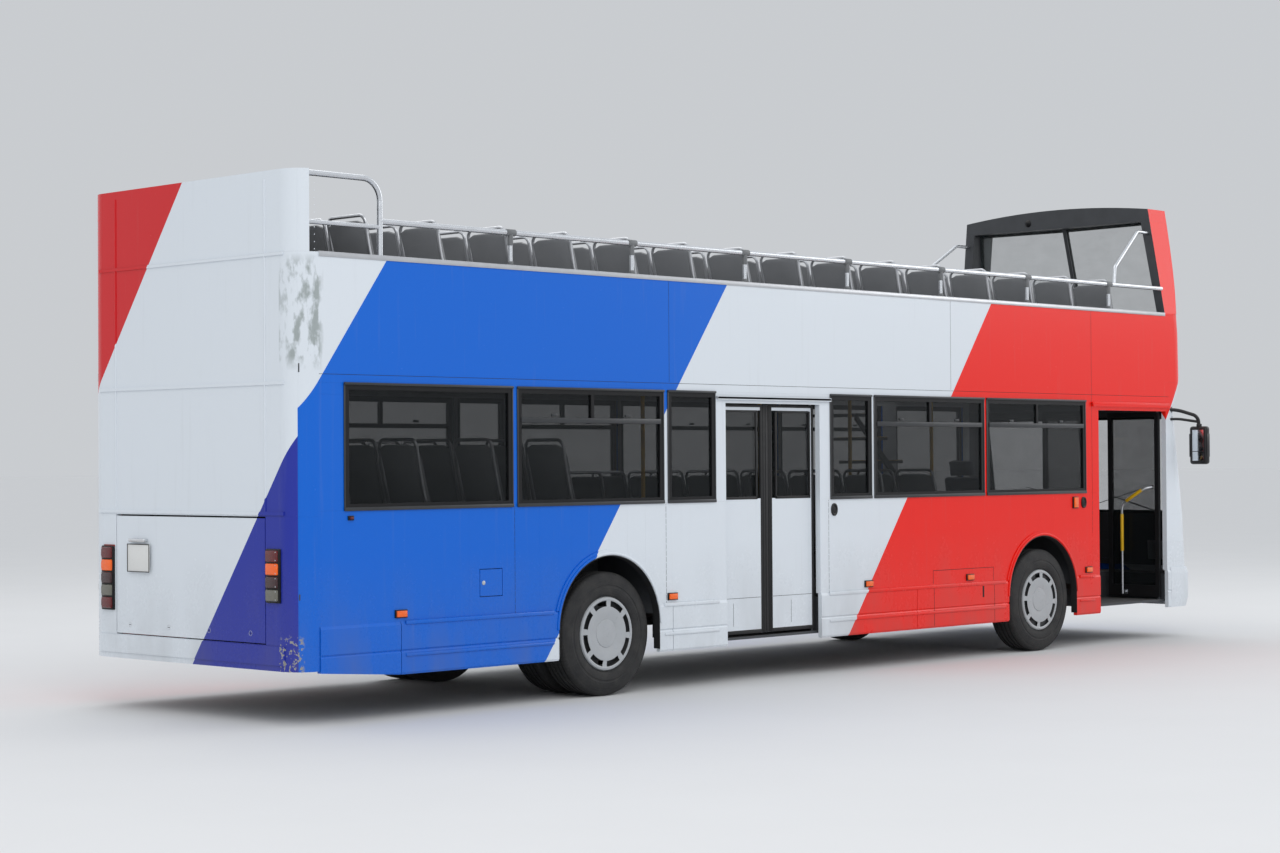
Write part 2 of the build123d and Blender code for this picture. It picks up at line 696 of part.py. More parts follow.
def wheel_clear(s, station, half, inner_y, top):
    block((st(station) - half, st(station) + half), (s * inner_y, s * (WALL_IN_Y + 1)), (0, top), Mode.SUBTRACT)


# Station, half length, inner Y, top
FRONT_BOX = (FRONT_AXLE, 610, 560, 1070)
REAR_BOX = (REAR_AXLE, 550, 580, 1070)
PLATFORM_END = 3650
REAR_IN = BEAD + WALL


def step_well(door):
    """A sunk floor inside a door, with its risers."""
    _, first, last, sill, _ = door
    t = WELL_T
    low = sill - 14
    xs = (st(first - WELL_SIDE), st(last + WELL_SIDE))
    ys = (-WALL_IN_Y, -WALL_IN_Y + WELL_IN)
    block((xs[0] - t, xs[1] + t), (ys[0], ys[1] + t), (low - t, FLOOR_TOP - FLOOR_PLATE / 2))
    block(xs, ys, (low, FLOOR_TOP + 1), Mode.SUBTRACT)


with BuildPart() as lower_floor:
    block((st(REAR_IN), st(FRONT_JOINT)), (-WALL_IN_Y, WALL_IN_Y), (FLOOR_TOP - FLOOR_PLATE, FLOOR_TOP))
    block(
        (st(REAR_IN), st(PLATFORM_END)), (-WALL_IN_Y, WALL_IN_Y), (FLOOR_TOP - FLOOR_PLATE, PLATFORM_TOP)
    )
    block(
        (st(REAR_IN) - 1, st(PLATFORM_END - FLOOR_PLATE)),
        (-WALL_IN_Y - 1, WALL_IN_Y + 1),
        (0, PLATFORM_TOP - FLOOR_PLATE),
        Mode.SUBTRACT,
    )
    for _, s in SIDES:
        wheel_box(s, *FRONT_BOX)
        wheel_box(s, *REAR_BOX)
        wheel_clear(s, *FRONT_BOX)
        wheel_clear(s, *REAR_BOX)
    for door in (MID_DOOR, FRONT_DOOR):
        step_well(door)
        for station in hinge_stations(door):
            tube((st(station), -HINGE_Y, door[3] - 20), (st(station), -HINGE_Y, door[3] + LEAF_GAP + PIN_DEEP), PIN_R)
    front_body([row_at(BUMPER_ROWS, z) for z in (FLOOR_TOP - FLOOR_PLATE, FLOOR_TOP)], inset=FRONT_WALL)
    add(rear_wall.part, mode=Mode.SUBTRACT)
    ends = [st(a) + sign * (half + WELL_T) for a, half, *_ in (REAR_BOX, FRONT_BOX) for sign in (-1, 1)]
    ends += [st(door[1] - WELL_SIDE) - WELL_T for door in (MID_DOOR, FRONT_DOOR)]
    ends += [st(MID_DOOR[2] + WELL_SIDE) + WELL_T, st(PLATFORM_END - FLOOR_PLATE), st(FRONT_JOINT)]
    well_y = -WALL_IN_Y + WELL_IN
    inner = [sign * y for sign in (-1, 1) for y in (FRONT_BOX[2] - WELL_T, FRONT_BOX[2], REAR_BOX[2])]
    levels = (MID_DOOR[3] - 14, FRONT_DOOR[3] - 14, FLOOR_TOP - FLOOR_PLATE, REAR_BOX[3])
    seams(ends, (well_y, well_y + WELL_T, *inner), levels)
finish(lower_floor, "lower_floor")

STAIR_IN_Y = 540
STAIR_X0, STAIR_X1 = 8180, 9660    # stair opening in the upper deck

with BuildPart() as upper_floor:
    block((st(REAR_IN), st(FRONT_JOINT)), (-WALL_IN_Y, WALL_IN_Y), (DECK_TOP - DECK_PLATE, DECK_TOP))
    block((st(STAIR_X0), st(STAIR_X1)), (STAIR_IN_Y, WALL_IN_Y - 30), (DECK_TOP - 100, DECK_TOP + 1), Mode.SUBTRACT)
    front_body([row_at(NOSE_ROWS, z) for z in (DECK_TOP - DECK_PLATE, DECK_TOP)], inset=FRONT_WALL)
    add(rear_wall.part, mode=Mode.SUBTRACT)
    seams((st(STAIR_X0), st(STAIR_X1)), (STAIR_IN_Y, WALL_IN_Y - 30))
finish(upper_floor, "upper_floor")


# Door leaves, made closed in plan from the hinge edge, then placed

LEAF_BORDER = 45
LEAF_LAMP_LOW = 1480    # bottom of the mid door's upper panes


def leaf_shape(width, low, high, pane_low):
    """A leaf standing along +X from its hinge axis, which is at X = 0, Y = 0, and its pane."""
    y = LEAF_T / 2
    x0, x1 = -HINGE_IN, width - HINGE_IN
    pane = (x0 + LEAF_BORDER, x1 - LEAF_BORDER, pane_low, high - LEAF_BORDER)
    with BuildPart() as leaf:
        block((x0, x1), (-y, y), (low, high))
        block(pane[:2], (-y - 1, y + 1), pane[2:], Mode.SUBTRACT)
        for z0, z1 in ((low - 1, low + PIN_DEEP + 6), (high + 1, high - PIN_DEEP - 6)):
            tube((0, 0, z0), (0, 0, z1), PIN_R + RUNNING, Mode.SUBTRACT)
    with BuildPart() as glass:
        block(pane[:2], (-GLASS_T / 2, GLASS_T / 2), pane[2:])
    return leaf.part, glass.part


def make_leaves(door, pane_low, opened):
    name, first, last, sill, head = door
    width = (last - first - 2 * LEAF_GAP - LEAF_MEET) / 2
    low, high = sill + LEAF_GAP, head - LEAF_GAP
    hinges = hinge_stations(door)
    for end, station, turn in (("rear", hinges[0], 0), ("front", hinges[1], 180)):
        swing = (90 if end == "rear" else -90) if opened else 0
        place = Pos(st(station), -HINGE_Y, 0) * Rot(0, 0, turn + swing)
        for piece, kind in zip(leaf_shape(width, low, high, pane_low), ("leaf", "glass")):
            with BuildPart() as placed:
                add(place * piece)
            finish(placed, f"{name}_door_{end}_{kind}")


make_leaves(MID_DOOR, LEAF_LAMP_LOW, False)
make_leaves(FRONT_DOOR, 520, True)


# Chassis, engine and axles

RAIL_IN, RAIL_OUT = 350, 430
RAIL_LOW, NOTCH_LOW = 440, 552
NOTCH_HALF = 260
SHAFT_R = 42
SHAFT_Z = TYRE_R + 10   # at the axle; the shaft climbs to the engine
SHAFT_RISE = 30
SHAFT_CLEAR = 15        # under the crossmember it passes

TANK_TOP = 570
# Y, first station, last station, radius: air, air, fuel, silencer
TANKS = [(-700, 6150, 6900, 125), (-950, 6150, 6900, 100), (760, 5900, 7300, 130), (760, 700, 1450, 120)]

with BuildPart() as chassis_frame:
    for _, s in SIDES:
        block((st(300), st(FRONT_JOINT - 100)), (s * RAIL_IN, s * RAIL_OUT), (RAIL_LOW, FLOOR_TOP - FLOOR_PLATE))
    over_shaft = SHAFT_Z + SHAFT_RISE + SHAFT_R + SHAFT_CLEAR
    for station in (340, 2300, 3800, 5200, 6600, 8100, 9500, 10700):
        low = over_shaft if station == 2300 else RAIL_LOW + 20
        block((st(station), st(station + 80)), (-RAIL_IN, RAIL_IN), (low, FLOOR_TOP - FLOOR_PLATE - 20))
    for station in (REAR_AXLE, FRONT_AXLE):
        block(
            (st(station) - NOTCH_HALF, st(station) + NOTCH_HALF),
            (-RAIL_OUT - 1, RAIL_OUT + 1),
            (RAIL_LOW - 1, NOTCH_LOW),
            Mode.SUBTRACT,
        )
    for s in (RIGHT, LEFT):
        for station in (450, 2200):
            block((st(station), st(station + 80)), (s * RAIL_IN, s * RAIL_OUT), (560, PLATFORM_TOP - FLOOR_PLATE))
        for station in (1500, 3900, 6000, 7400, 9560):
            ys = (s * RAIL_OUT, s * (SKIRT_Y - SKIRT_T))
            if s == RIGHT and 4000 < station + 1 < 5600:
                continue
            block((st(station), st(station + 60)), ys, (FLOOR_TOP - FLOOR_PLATE - 60, FLOOR_TOP - FLOOR_PLATE))
    for y, first, last, radius in TANKS:
        tube((st(first), y, TANK_TOP - radius), (st(last), y, TANK_TOP - radius), radius)
        for station in (first + 120, last - 120):
            block((st(station) - 20, st(station) + 20), (copysign(RAIL_OUT - 1, y), y), (TANK_TOP - 90, TANK_TOP - 40))
    notches = [st(axle) + sign * NOTCH_HALF for axle in (REAR_AXLE, FRONT_AXLE) for sign in (-1, 1)]
    seams(notches, (-RAIL_OUT, -RAIL_IN, RAIL_IN, RAIL_OUT), (FLOOR_TOP - FLOOR_PLATE,))
finish(chassis_frame, "chassis_frame")

ENGINE = (560, 1900)
with BuildPart() as engine_block:
    block((st(ENGINE[0]), st(ENGINE[1])), (-RAIL_IN, RAIL_IN), (330, 850))
finish(engine_block, "engine_block")

AXLE_R = 65
HOUSING_R, HOUSING_HALF = 120, 110
HUB_END = 1120
BOSS_R = 50
BEAM_HALF = 45
LUG = 40
LUG_GAP = 5

with BuildPart() as rear_axle:
    x = st(REAR_AXLE)
    tube((x, -700, TYRE_R), (x, 700, TYRE_R), AXLE_R)
    tube((x, -HUB_END, TYRE_R), (x, HUB_END, TYRE_R), 60)
    tube((x, -HOUSING_HALF, TYRE_R), (x, HOUSING_HALF, TYRE_R), HOUSING_R)
    tube((x - 100, 0, SHAFT_Z), (st(ENGINE[1]) + 2, 0, SHAFT_Z + SHAFT_RISE), SHAFT_R)
    for _, s in SIDES:
        mid = s * (RAIL_IN + RAIL_OUT) / 2
        block((x - 60, x + 60), (mid - 40, mid + 40), (TYRE_R, NOTCH_LOW))
    seams((x - HOUSING_R - 1,), (-700, -HOUSING_HALF, HOUSING_HALF, 700), (TYRE_R + AXLE_R,))
finish(rear_axle, "rear_axle")

with BuildPart() as front_axle:
    x = st(FRONT_AXLE)
    block((x - 45, x + 45), (-KINGPIN_Y, KINGPIN_Y), (TYRE_R - BEAM_HALF, TYRE_R + BEAM_HALF))
    for _, s in SIDES:
        y = s * KINGPIN_Y
        tube((x, y, TYRE_R - BEAM_HALF), (x, y, TYRE_R + BEAM_HALF), BOSS_R)
        reach = BEAM_HALF + LUG_GAP + LUG
        tube((x, y, TYRE_R - reach), (x, y, TYRE_R + reach), KINGPIN_R)
        mid = s * (RAIL_IN + RAIL_OUT) / 2
        block((x - 60, x + 60), (mid - 40, mid + 40), (TYRE_R, NOTCH_LOW))
    seams((), (-KINGPIN_Y + BOSS_R, KINGPIN_Y - BOSS_R), (TYRE_R - BEAM_HALF, TYRE_R + BEAM_HALF))
finish(front_axle, "front_axle")

for name, s in SIDES:
    x, y = st(FRONT_AXLE), s * KINGPIN_Y
    near, far = s * (KINGPIN_Y + BOSS_R + LUG_GAP), s * (KINGPIN_Y + BOSS_R + LUG_GAP + 35)
    with BuildPart() as knuckle:
        for sign in (-1, 1):
            z0 = TYRE_R + sign * (BEAM_HALF + LUG_GAP)
            z1 = z0 + sign * LUG
            tube((x, y, z0), (x, y, z1), 45)
            block((x - 45, x + 45), (y, far), (z0, z1))
        block((x - 45, x + 45), (near, far), (TYRE_R - BEAM_HALF - LUG_GAP, TYRE_R + BEAM_HALF + LUG_GAP))
        tube((x, far, TYRE_R), (x, s * (TYRE_FACE_Y - 60), TYRE_R), STUB_R)
        reach = BEAM_HALF + LUG_GAP + LUG + 1
        tube((x, y, TYRE_R - reach), (x, y, TYRE_R + reach), KINGPIN_R + RUNNING, Mode.SUBTRACT)
        reach = BEAM_HALF + LUG_GAP
        seams((), (far,), (TYRE_R - reach, TYRE_R + reach))
    finish(knuckle, f"knuckle_{name}")


# Wheels, revolved about Y: tables run from the outer face inwards

BEAD_IN = 18            # rim flange set in from the sidewall


def revolved(points, station):
    """Revolve a closed outline of (Y, radius) about the axle's line."""
    x = st(station)
    with BuildSketch(Plane.YZ.offset(x)) as outline:
        with BuildLine():
            Polyline(*[(y, TYRE_R - r) for y, r in points], close=True)
        make_face()
    revolve(outline.sketch, axis=Axis((x, 0, TYRE_R), (0, 1, 0)))


def tyre_outline(s, face):
    """Outline of a tyre whose outer sidewall is at Y = face."""
    crown, shoulder = TYRE_R, TYRE_R - 22
    rows = [
        (BEAD_IN, RIM_R),
        (0, RIM_R + 70),
        (14, shoulder),
        (42, crown),
        (TYRE_W - 42, crown),
        (TYRE_W - 14, shoulder),
        (TYRE_W, RIM_R + 70),
        (TYRE_W - BEAD_IN, RIM_R),
    ]
    return [(s * (face - depth), r) for depth, r in rows]


def rim_outline(s, face, disc, bore, hub_in):
    """Outline of a rim with its disc; disc is how far the disc's outer face is set in."""
    width = TYRE_W - 2 * BEAD_IN
    rows = [
        (BEAD_IN, RIM_R),
        (BEAD_IN, RIM_R - 12),
        (disc, 262),
        (disc, 0),
        (disc + 20, 0),
        (disc + 20, bore),
        (hub_in, bore),
        (hub_in, bore + 45),
        (disc + 26, bore + 45),
        (disc + 26, 250),
        (BEAD_IN + width, RIM_R - 12),
        (BEAD_IN + width, RIM_R),
    ]
    return [(s * (face - depth), r) for depth, r in rows]


SLOTS = 8
SLOT_R, SLOT_L, SLOT_W = 222, 84, 30


def cap_slots(s, face, station):
    """Cut the ring of cooling slots through a wheel disc."""
    with BuildSketch(Plane.XZ.offset(-s * (face - 20))) as slots:
        with Locations((st(station), TYRE_R)):
            with PolarLocations(SLOT_R, SLOTS):
                Rectangle(SLOT_W, SLOT_L)
    extrude(slots.sketch, amount=s * 80, mode=Mode.SUBTRACT)


for name, s in SIDES:
    with BuildPart() as tyre:
        revolved(tyre_outline(s, TYRE_FACE_Y), FRONT_AXLE)
    finish(tyre, f"front_tyre_{name}")
    with BuildPart() as rim:
        revolved(rim_outline(s, TYRE_FACE_Y, 30, STUB_R + RUNNING, 200), FRONT_AXLE)
        cap_slots(s, TYRE_FACE_Y, FRONT_AXLE)
    finish(rim, f"front_rim_{name}")
    with BuildPart() as tyres:
        for face in (TYRE_FACE_Y, TYRE_FACE_Y - TYRE_W - TWIN_GAP):
            revolved(tyre_outline(s, face), REAR_AXLE)
    finish(tyres, f"rear_tyres_{name}")
    with BuildPart() as rims:
        revolved(rim_outline(s, TYRE_FACE_Y, 60, 60 + RUNNING, 500), REAR_AXLE)
        cap_slots(s, TYRE_FACE_Y, REAR_AXLE)
        inner = TYRE_FACE_Y - TYRE_W - TWIN_GAP
        band = [
            (BEAD_IN - TWIN_GAP - 2 * BEAD_IN, RIM_R - 12),
            (TYRE_W - BEAD_IN, RIM_R - 12),
            (TYRE_W - BEAD_IN, RIM_R),
            (BEAD_IN, RIM_R),
            (BEAD_IN, RIM_R - 6),
            (BEAD_IN - TWIN_GAP - 2 * BEAD_IN, RIM_R - 6),
        ]
        revolved([(s * (inner - d), r) for d, r in band], REAR_AXLE)
    finish(rims, f"rear_rims_{name}")


# Handrails on the open deck

LOOP_BEND = 150
GUARD_Z = 3400          # rail round the stair well
# Station, Y
POLES = [(4180, -480), (5640, -480), (7092, -300), (8050, -500)]


def hoop_back(z):
    """Station of the front hoop's rear edge at a height."""
    return UPPER_BACK - HOOP_LEAN * (z - SIDE_TOP) / (HOOP_TOP + 20 - SIDE_TOP)


with BuildPart() as handrails:
    for _, s in SIDES:
        y = s * RAIL_Y
        tube((st(LOOP_X), y, RAIL_Z), (st(hoop_back(RAIL_Z) - 2), y, RAIL_Z), RAIL_R)
        for station in POSTS:
            tube((st(station), y, SIDE_TOP), (st(station), y, RAIL_Z), POST_R)
        loop = [
            (st(REAR_POST), y, LOOP_Z),
            (st(LOOP_X), y, LOOP_Z),
            (st(LOOP_X), y, SIDE_TOP),
        ]
        bent_tube(loop, LOOP_BEND, RAIL_R)
        tube((st(REAR_POST), y, RAIL_Z - 40), (st(LOOP_X), y, RAIL_Z - 40), POST_R)
        brace = [
            (st(10036), y, RAIL_Z),
            (st(10056), y, RAIL_Z + 170),
            (st(10640), s * 1110, 4040),
            (st(hoop_back(4040) - 2), s * 1100, 4040),
        ]
        bent_tube(brace, 60, 17)
    for station, y in POLES:
        tube((st(station), y, FLOOR_TOP), (st(station), y, DECK_TOP - DECK_PLATE), 17)
    guard_y = STAIR_IN_Y - 40
    for station in (STAIR_X0 - 40, (STAIR_X0 + STAIR_X1) / 2, STAIR_X1 + 40):
        tube((st(station), guard_y, DECK_TOP), (st(station), guard_y, GUARD_Z), POST_R)
    tube((st(STAIR_X0 - 40), guard_y, GUARD_Z), (st(STAIR_X1 + 40), guard_y, GUARD_Z), POST_R)
    seams(
        (st(LOOP_X - LOOP_BEND), st(LOOP_X) + RAIL_R, st(10600)),
        (),
        (GUARD_Z - POST_R, RAIL_Z - RAIL_R, RAIL_Z + RAIL_R, LOOP_Z - LOOP_BEND, RAIL_Z + 220),
    )
finish(handrails, "handrails")


# Seats: moulded shells on a pedestal, in pairs, each pair one solid

SEAT_W = 430
SEAT_GAP = 20
SEAT_H = 440
BACK_TOP = 1030
BACK_LEAN = 130
SHELL = 35


def seat_pair(back, centre_y, floor, aisle):
    """Two seats side by side; back is the station of the rear of the cushion."""
    x = st(back)
    width = 2 * SEAT_W + SEAT_GAP
    z = floor + SEAT_H
    with BuildSketch(Plane.XZ.offset(-centre_y - width / 2)) as profile:
        with BuildLine():
            Polyline(
                (x + 420, z),
                (x + 430, z - SHELL),
                (x - 10, z - SHELL - 20),
                (x - BACK_LEAN - SHELL, floor + BACK_TOP),
                (x - BACK_LEAN, floor + BACK_TOP + 10),
                (x + 30, z + 10),
                close=True,
            )
        make_face()
    extrude(profile.sketch, amount=width)
    block(
        (x - BACK_LEAN - SHELL - 60, x + 30),
        (centre_y - SEAT_GAP / 2, centre_y + SEAT_GAP / 2),
        (z - 80, floor + BACK_TOP + 20),
        Mode.SUBTRACT,
    )
    hair = PANEL_JOINT / 2
    block((x + 30 - hair, x + 30 + hair), (centre_y - width, centre_y + width), (z - 80, z + 60), Mode.SUBTRACT)
    block((x + 120, x + 200), (centre_y + aisle * 220, centre_y + aisle * 280), (floor, z - SHELL - 14.6))


PAIR_Y = 720
ROW_FIRST = 830
ROW_PITCH = 668
ROWS = 15
with BuildPart() as upper_seats:
    for _, s in SIDES:
        for k in range(ROWS):
            back = ROW_FIRST + ROW_PITCH * k
            if s == LEFT and STAIR_X0 - 480 < back < STAIR_X1 + 200:
                continue
            seat_pair(back, s * PAIR_Y, DECK_TOP, -s)
finish(upper_seats, "upper_seats")

# Side, back station, floor height
LOWER_ROWS = (
    [(s, back, PLATFORM_TOP) for s in (RIGHT, LEFT) for back in (560, 1290, 2020, 2750)]
    + [(RIGHT, back, FLOOR_TOP) for back in (3860, 5850, 6600, 7350)]
    + [(LEFT, back, FLOOR_TOP) for back in (3860, 4610, 5360, 6110, 6860)]
)
with BuildPart() as lower_seats:
    for s, back, floor in LOWER_ROWS:
        if (s, back) == (RIGHT, 3860):
            continue
        seat_pair(back, s * PAIR_Y, floor, -s)
finish(lower_seats, "lower_seats")


# Driver's place, stairs and poles

WHEEL_X, WHEEL_Z = 10800, 1235
with BuildPart() as driver_place:
    block((st(10890), st(11180)), (150, 1150), (FLOOR_TOP, 1120))
    block((st(10250), st(10700)), (480, 920), (FLOOR_TOP + 330, FLOOR_TOP + 430))
    block((st(10400), st(10560)), (640, 760), (FLOOR_TOP, FLOOR_TOP + 330))
    block((st(10210), st(10290)), (480, 920), (FLOOR_TOP + 330, FLOOR_TOP + 1000))
    tube((st(10925), 700, 960), (st(WHEEL_X), 700, WHEEL_Z), 35)
    rake = Plane(origin=(st(WHEEL_X), 700, WHEEL_Z), x_dir=(0, 1, 0), z_dir=(-1, 0, 1.9))
    with BuildSketch(rake) as rim:
        Circle(235)
        Circle(207, mode=Mode.SUBTRACT)
        Rectangle(420, 40)
        Rectangle(40, 420)
    extrude(rim.sketch, amount=26, both=True)
    block((st(10060), st(10085)), (250, WALL_IN_Y), (FLOOR_TOP, 1950))
    seams((st(10295),), (), (FLOOR_TOP + 330, 1120))
finish(driver_place, "driver_place")

STEPS = 8
with BuildPart() as stairs:
    rise = (DECK_TOP - FLOOR_TOP) / STEPS
    going = (STAIR_X1 - STAIR_X0 + 200) / (STEPS - 1)
    x0 = st(STAIR_X1 + 260)
    for k in range(STEPS - 1):
        top = FLOOR_TOP + rise * (k + 1)
        block(
            (x0 - going * (k + 1), x0 - going * k + 10),
            (STAIR_IN_Y + 10, WALL_IN_Y - 40),
            (top - 30, top),
        )
    with BuildSketch(Plane.XZ.offset(-STAIR_IN_Y - 10)):
        with BuildLine():
            Polyline(
                (x0 + 10, FLOOR_TOP),
                (x0 - 60, FLOOR_TOP),
                (x0 - going * (STEPS - 1), FLOOR_TOP + rise * (STEPS - 1) - 60),
                (x0 - going * (STEPS - 1), FLOOR_TOP + rise * (STEPS - 1)),
                (x0 + 10, FLOOR_TOP + 80),
                close=True,
            )
        make_face()
    extrude(amount=-25)
    seams((), (STAIR_IN_Y + 35,))
finish(stairs, "stairs")

# Mirrors

MIRROR_X, MIRROR_Y = 11225, 1435

with BuildPart() as mirrors:
    for _, s in SIDES:
        arm = [
            (st(10985), s * (SIDE_Y - 25), 2255),
            (st(10985), s * (SIDE_Y + 50), 2255),
            (st(MIRROR_X), s * MIRROR_Y, 2170),
            (st(MIRROR_X), s * MIRROR_Y, 2080),
        ]
        bent_tube(arm, 30, 14)
        tube((st(10990), s * (SIDE_Y - 25), 2176), (st(MIRROR_X), s * MIRROR_Y, 2150), 12)
        block((st(MIRROR_X - 25), st(MIRROR_X + 25)), (s * (MIRROR_Y - 110), s * (MIRROR_Y + 90)), (1725, 2110))
    add(front_mask.part, mode=Mode.SUBTRACT)
    seams((), (), (2110,))
finish(mirrors, "mirrors")
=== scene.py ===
# %% [markdown]
# # Open top double decker bus
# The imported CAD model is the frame: walls, doors, wheels and seats at their real places.
# Blender adds the looks: paint, glass, rubber, tread, lamps, rails' fittings and seat covers.
# Everything is in metres. +X is forward, +Y is the bus's left, +Z is up.

import math

import bmesh
import bpy
from mathutils import Matrix, Vector


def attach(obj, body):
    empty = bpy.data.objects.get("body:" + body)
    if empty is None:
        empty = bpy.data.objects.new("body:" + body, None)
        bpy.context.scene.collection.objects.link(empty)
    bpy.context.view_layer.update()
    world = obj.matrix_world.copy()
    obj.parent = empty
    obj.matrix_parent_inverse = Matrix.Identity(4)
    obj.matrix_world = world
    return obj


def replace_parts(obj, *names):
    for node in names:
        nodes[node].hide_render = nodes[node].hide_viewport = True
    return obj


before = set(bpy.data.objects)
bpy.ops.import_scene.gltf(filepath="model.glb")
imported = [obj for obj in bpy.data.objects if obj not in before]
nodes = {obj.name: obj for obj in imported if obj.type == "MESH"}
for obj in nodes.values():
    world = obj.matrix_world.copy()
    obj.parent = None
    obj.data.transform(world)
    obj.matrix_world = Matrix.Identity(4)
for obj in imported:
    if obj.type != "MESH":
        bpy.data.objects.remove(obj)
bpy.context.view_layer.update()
bpy.context.scene.view_settings.view_transform = "Standard"

# %% [markdown]
# ## Stations
# A bus is drawn by stations, distances forward of its rear face. One helper turns a station into X,
# so that the numbers below read as they would on a body builder's drawing.

# %% Stations and the heights that many pieces share
LENGTH = 11.48
SIDE_Y = 1.25
REAR_AXLE, FRONT_AXLE = 3.0, 8.75
AXLE_Z = 0.475
SALOON_FLOOR, REAR_PLATFORM = 0.640, 0.900
DECK_TOP = 2.47
SIDE_TOP = 3.233


def st(station):
    """X of a distance forward of the rear face."""
    return station - LENGTH / 2


print("wheelbase", FRONT_AXLE - REAR_AXLE)

# %% [markdown]
# ## Camera
# The photograph was taken some 15 m off the rear right corner, at eye height.
# Place, turn and lens come from fitting the bus's straight lines, so the camera is written as a
# matrix of its own right, up and back directions.

# %% Camera at the photograph's place


def photo_camera(yaw, pitch, roll):
    """Columns right, up and back of a camera with these angles in degrees."""
    a, b, c = (math.radians(v) for v in (yaw, pitch, roll))
    ahead = Vector((math.cos(a) * math.cos(b), math.sin(a) * math.cos(b), math.sin(b)))
    right = Vector((math.sin(a), -math.cos(a), 0))
    up = right.cross(ahead)
    turned_right = right * math.cos(c) + up * math.sin(c)
    turned_up = up * math.cos(c) - right * math.sin(c)
    return Matrix((turned_right, turned_up, -ahead)).transposed()


FOCAL_PIXELS, PHOTO_WIDTH = 2450.68, 1280.0
camera_data = bpy.data.cameras.new("photo_camera")
camera = bpy.data.objects.new("photo_camera", camera_data)
bpy.context.scene.collection.objects.link(camera)
camera_data.sensor_width = 36.0
camera_data.lens = FOCAL_PIXELS * camera_data.sensor_width / PHOTO_WIDTH
camera_data.clip_end = 400.0
camera.matrix_world = Matrix.Translation((-16.065, -14.3955, 1.7854)) @ photo_camera(
    43.87639, 0.82549, -0.36859
).to_4x4()
bpy.context.scene.camera = camera
print("lens", round(camera_data.lens, 2), "mm")

# %% [markdown]
# ## Shader expressions
# Paint and rubber are sums and masks of the place on the piece. Wrapping a socket in a small class
# lets that maths be written as plain Python, and each operation adds its node.

# %% A socket that can be added, multiplied and compared


class Value:
    """A shader socket with arithmetic; node() adds any other node."""

    def __init__(self, tree, socket):
        self.tree, self.socket = tree, socket

    def node(self, kind, settings=None, **inputs):
        """Add a node; settings come first, inputs are values or sockets. Returns the node."""
        made = self.tree.nodes.new("ShaderNode" + kind)
        for name, value in (settings or {}).items():
            setattr(made, name, value)
        for name, value in inputs.items():
            index = int(name[1:]) if name[0] == "i" and name[1:].isdigit() else name.replace("_", " ")
            socket = made.inputs[index]
            if isinstance(value, Value):
                self.tree.links.new(value.socket, socket)
            else:
                socket.default_value = value
        return made

    def math(self, operation, other=0.0, third=None):
        extra = {} if third is None else {"i2": third}
        made = self.node("Math", {"operation": operation}, i0=self, i1=other, **extra)
        return Value(self.tree, made.outputs[0])

    def __add__(self, other):
        return self.math("ADD", other)

    def __sub__(self, other):
        return self.math("SUBTRACT", other)

    def __mul__(self, other):
        return self.math("MULTIPLY", other)

    def __truediv__(self, other):
        return self.math("DIVIDE", other)

    def __lt__(self, other):
        return self.math("LESS_THAN", other)

    def __gt__(self, other):
        return self.math("GREATER_THAN", other)

    __radd__ = __add__
    __rmul__ = __mul__

    def __rsub__(self, other):
        return (self * -1.0) + other

    def clamp(self):
        return self.math("MINIMUM", 1.0).math("MAXIMUM", 0.0)

    def near(self, centre, width, soft=0.001):
        """1 within half a width of the centre, falling to 0 over the soft edge."""
        away = (self - centre).math("ABSOLUTE")
        return ((width / 2 + soft - away) / soft).clamp()

    def between(self, low, high, soft=0.001):
        return self.near((low + high) / 2, high - low, soft)

    def either(self, other):
        return self.math("MAXIMUM", other)

    def both(self, other):
        return self * other


class Finish:
    """A material under construction, with its place coordinates ready as x, y and z."""

    def __init__(self, name):
        self.material = bpy.data.materials.new(name)
        self.material.use_nodes = True
        self.tree = self.material.node_tree
        self.shader = self.tree.nodes["Principled BSDF"]
        place = self.tree.nodes.new("ShaderNodeTexCoord")
        self.place = Value(self.tree, place.outputs["Object"])
        split = self.place.node("SeparateXYZ", i0=self.place)
        self.x, self.y, self.z = (Value(self.tree, split.outputs[k]) for k in range(3))
        facing = self.tree.nodes.new("ShaderNodeNewGeometry")
        normal = self.place.node("SeparateXYZ", i0=Value(self.tree, facing.outputs["Normal"]))
        self.nx, self.ny, self.nz = (Value(self.tree, normal.outputs[k]) for k in range(3))

    def constant(self, **sockets):
        for name, value in sockets.items():
            self.shader.inputs[name.replace("_", " ")].default_value = value
        return self

    def noise(self, scale, detail=4.0, stretch=(1.0, 1.0, 1.0), roughness=0.55):
        place = self.place
        if tuple(stretch) != (1.0, 1.0, 1.0):
            place = Value(self.tree, place.node("Mapping", i0=place, Scale=stretch).outputs[0])
        made = place.node("TexNoise", Vector=place, Scale=scale, Detail=detail, Roughness=roughness)
        return Value(self.tree, made.outputs["Fac"])

    def mix(self, share, a, b):
        """Colour a where the share is 0 and b where it is 1."""
        made = self.place.node("Mix", {"data_type": "RGBA"})
        for index, value in ((0, share), (6, a), (7, b)):
            if isinstance(value, Value):
                self.tree.links.new(value.socket, made.inputs[index])
            else:
                made.inputs[index].default_value = (*value, 1.0) if isinstance(value, tuple) else value
        return Value(self.tree, made.outputs[2])

    def feed(self, name, value):
        self.tree.links.new(value.socket, self.shader.inputs[name])
        return self

    def bump(self, height, distance=0.001, strength=1.0):
        made = height.node("Bump", Height=height, Distance=distance, Strength=strength)
        self.tree.links.new(made.outputs[0], self.shader.inputs["Normal"])
        return self


print("shader helpers ready")

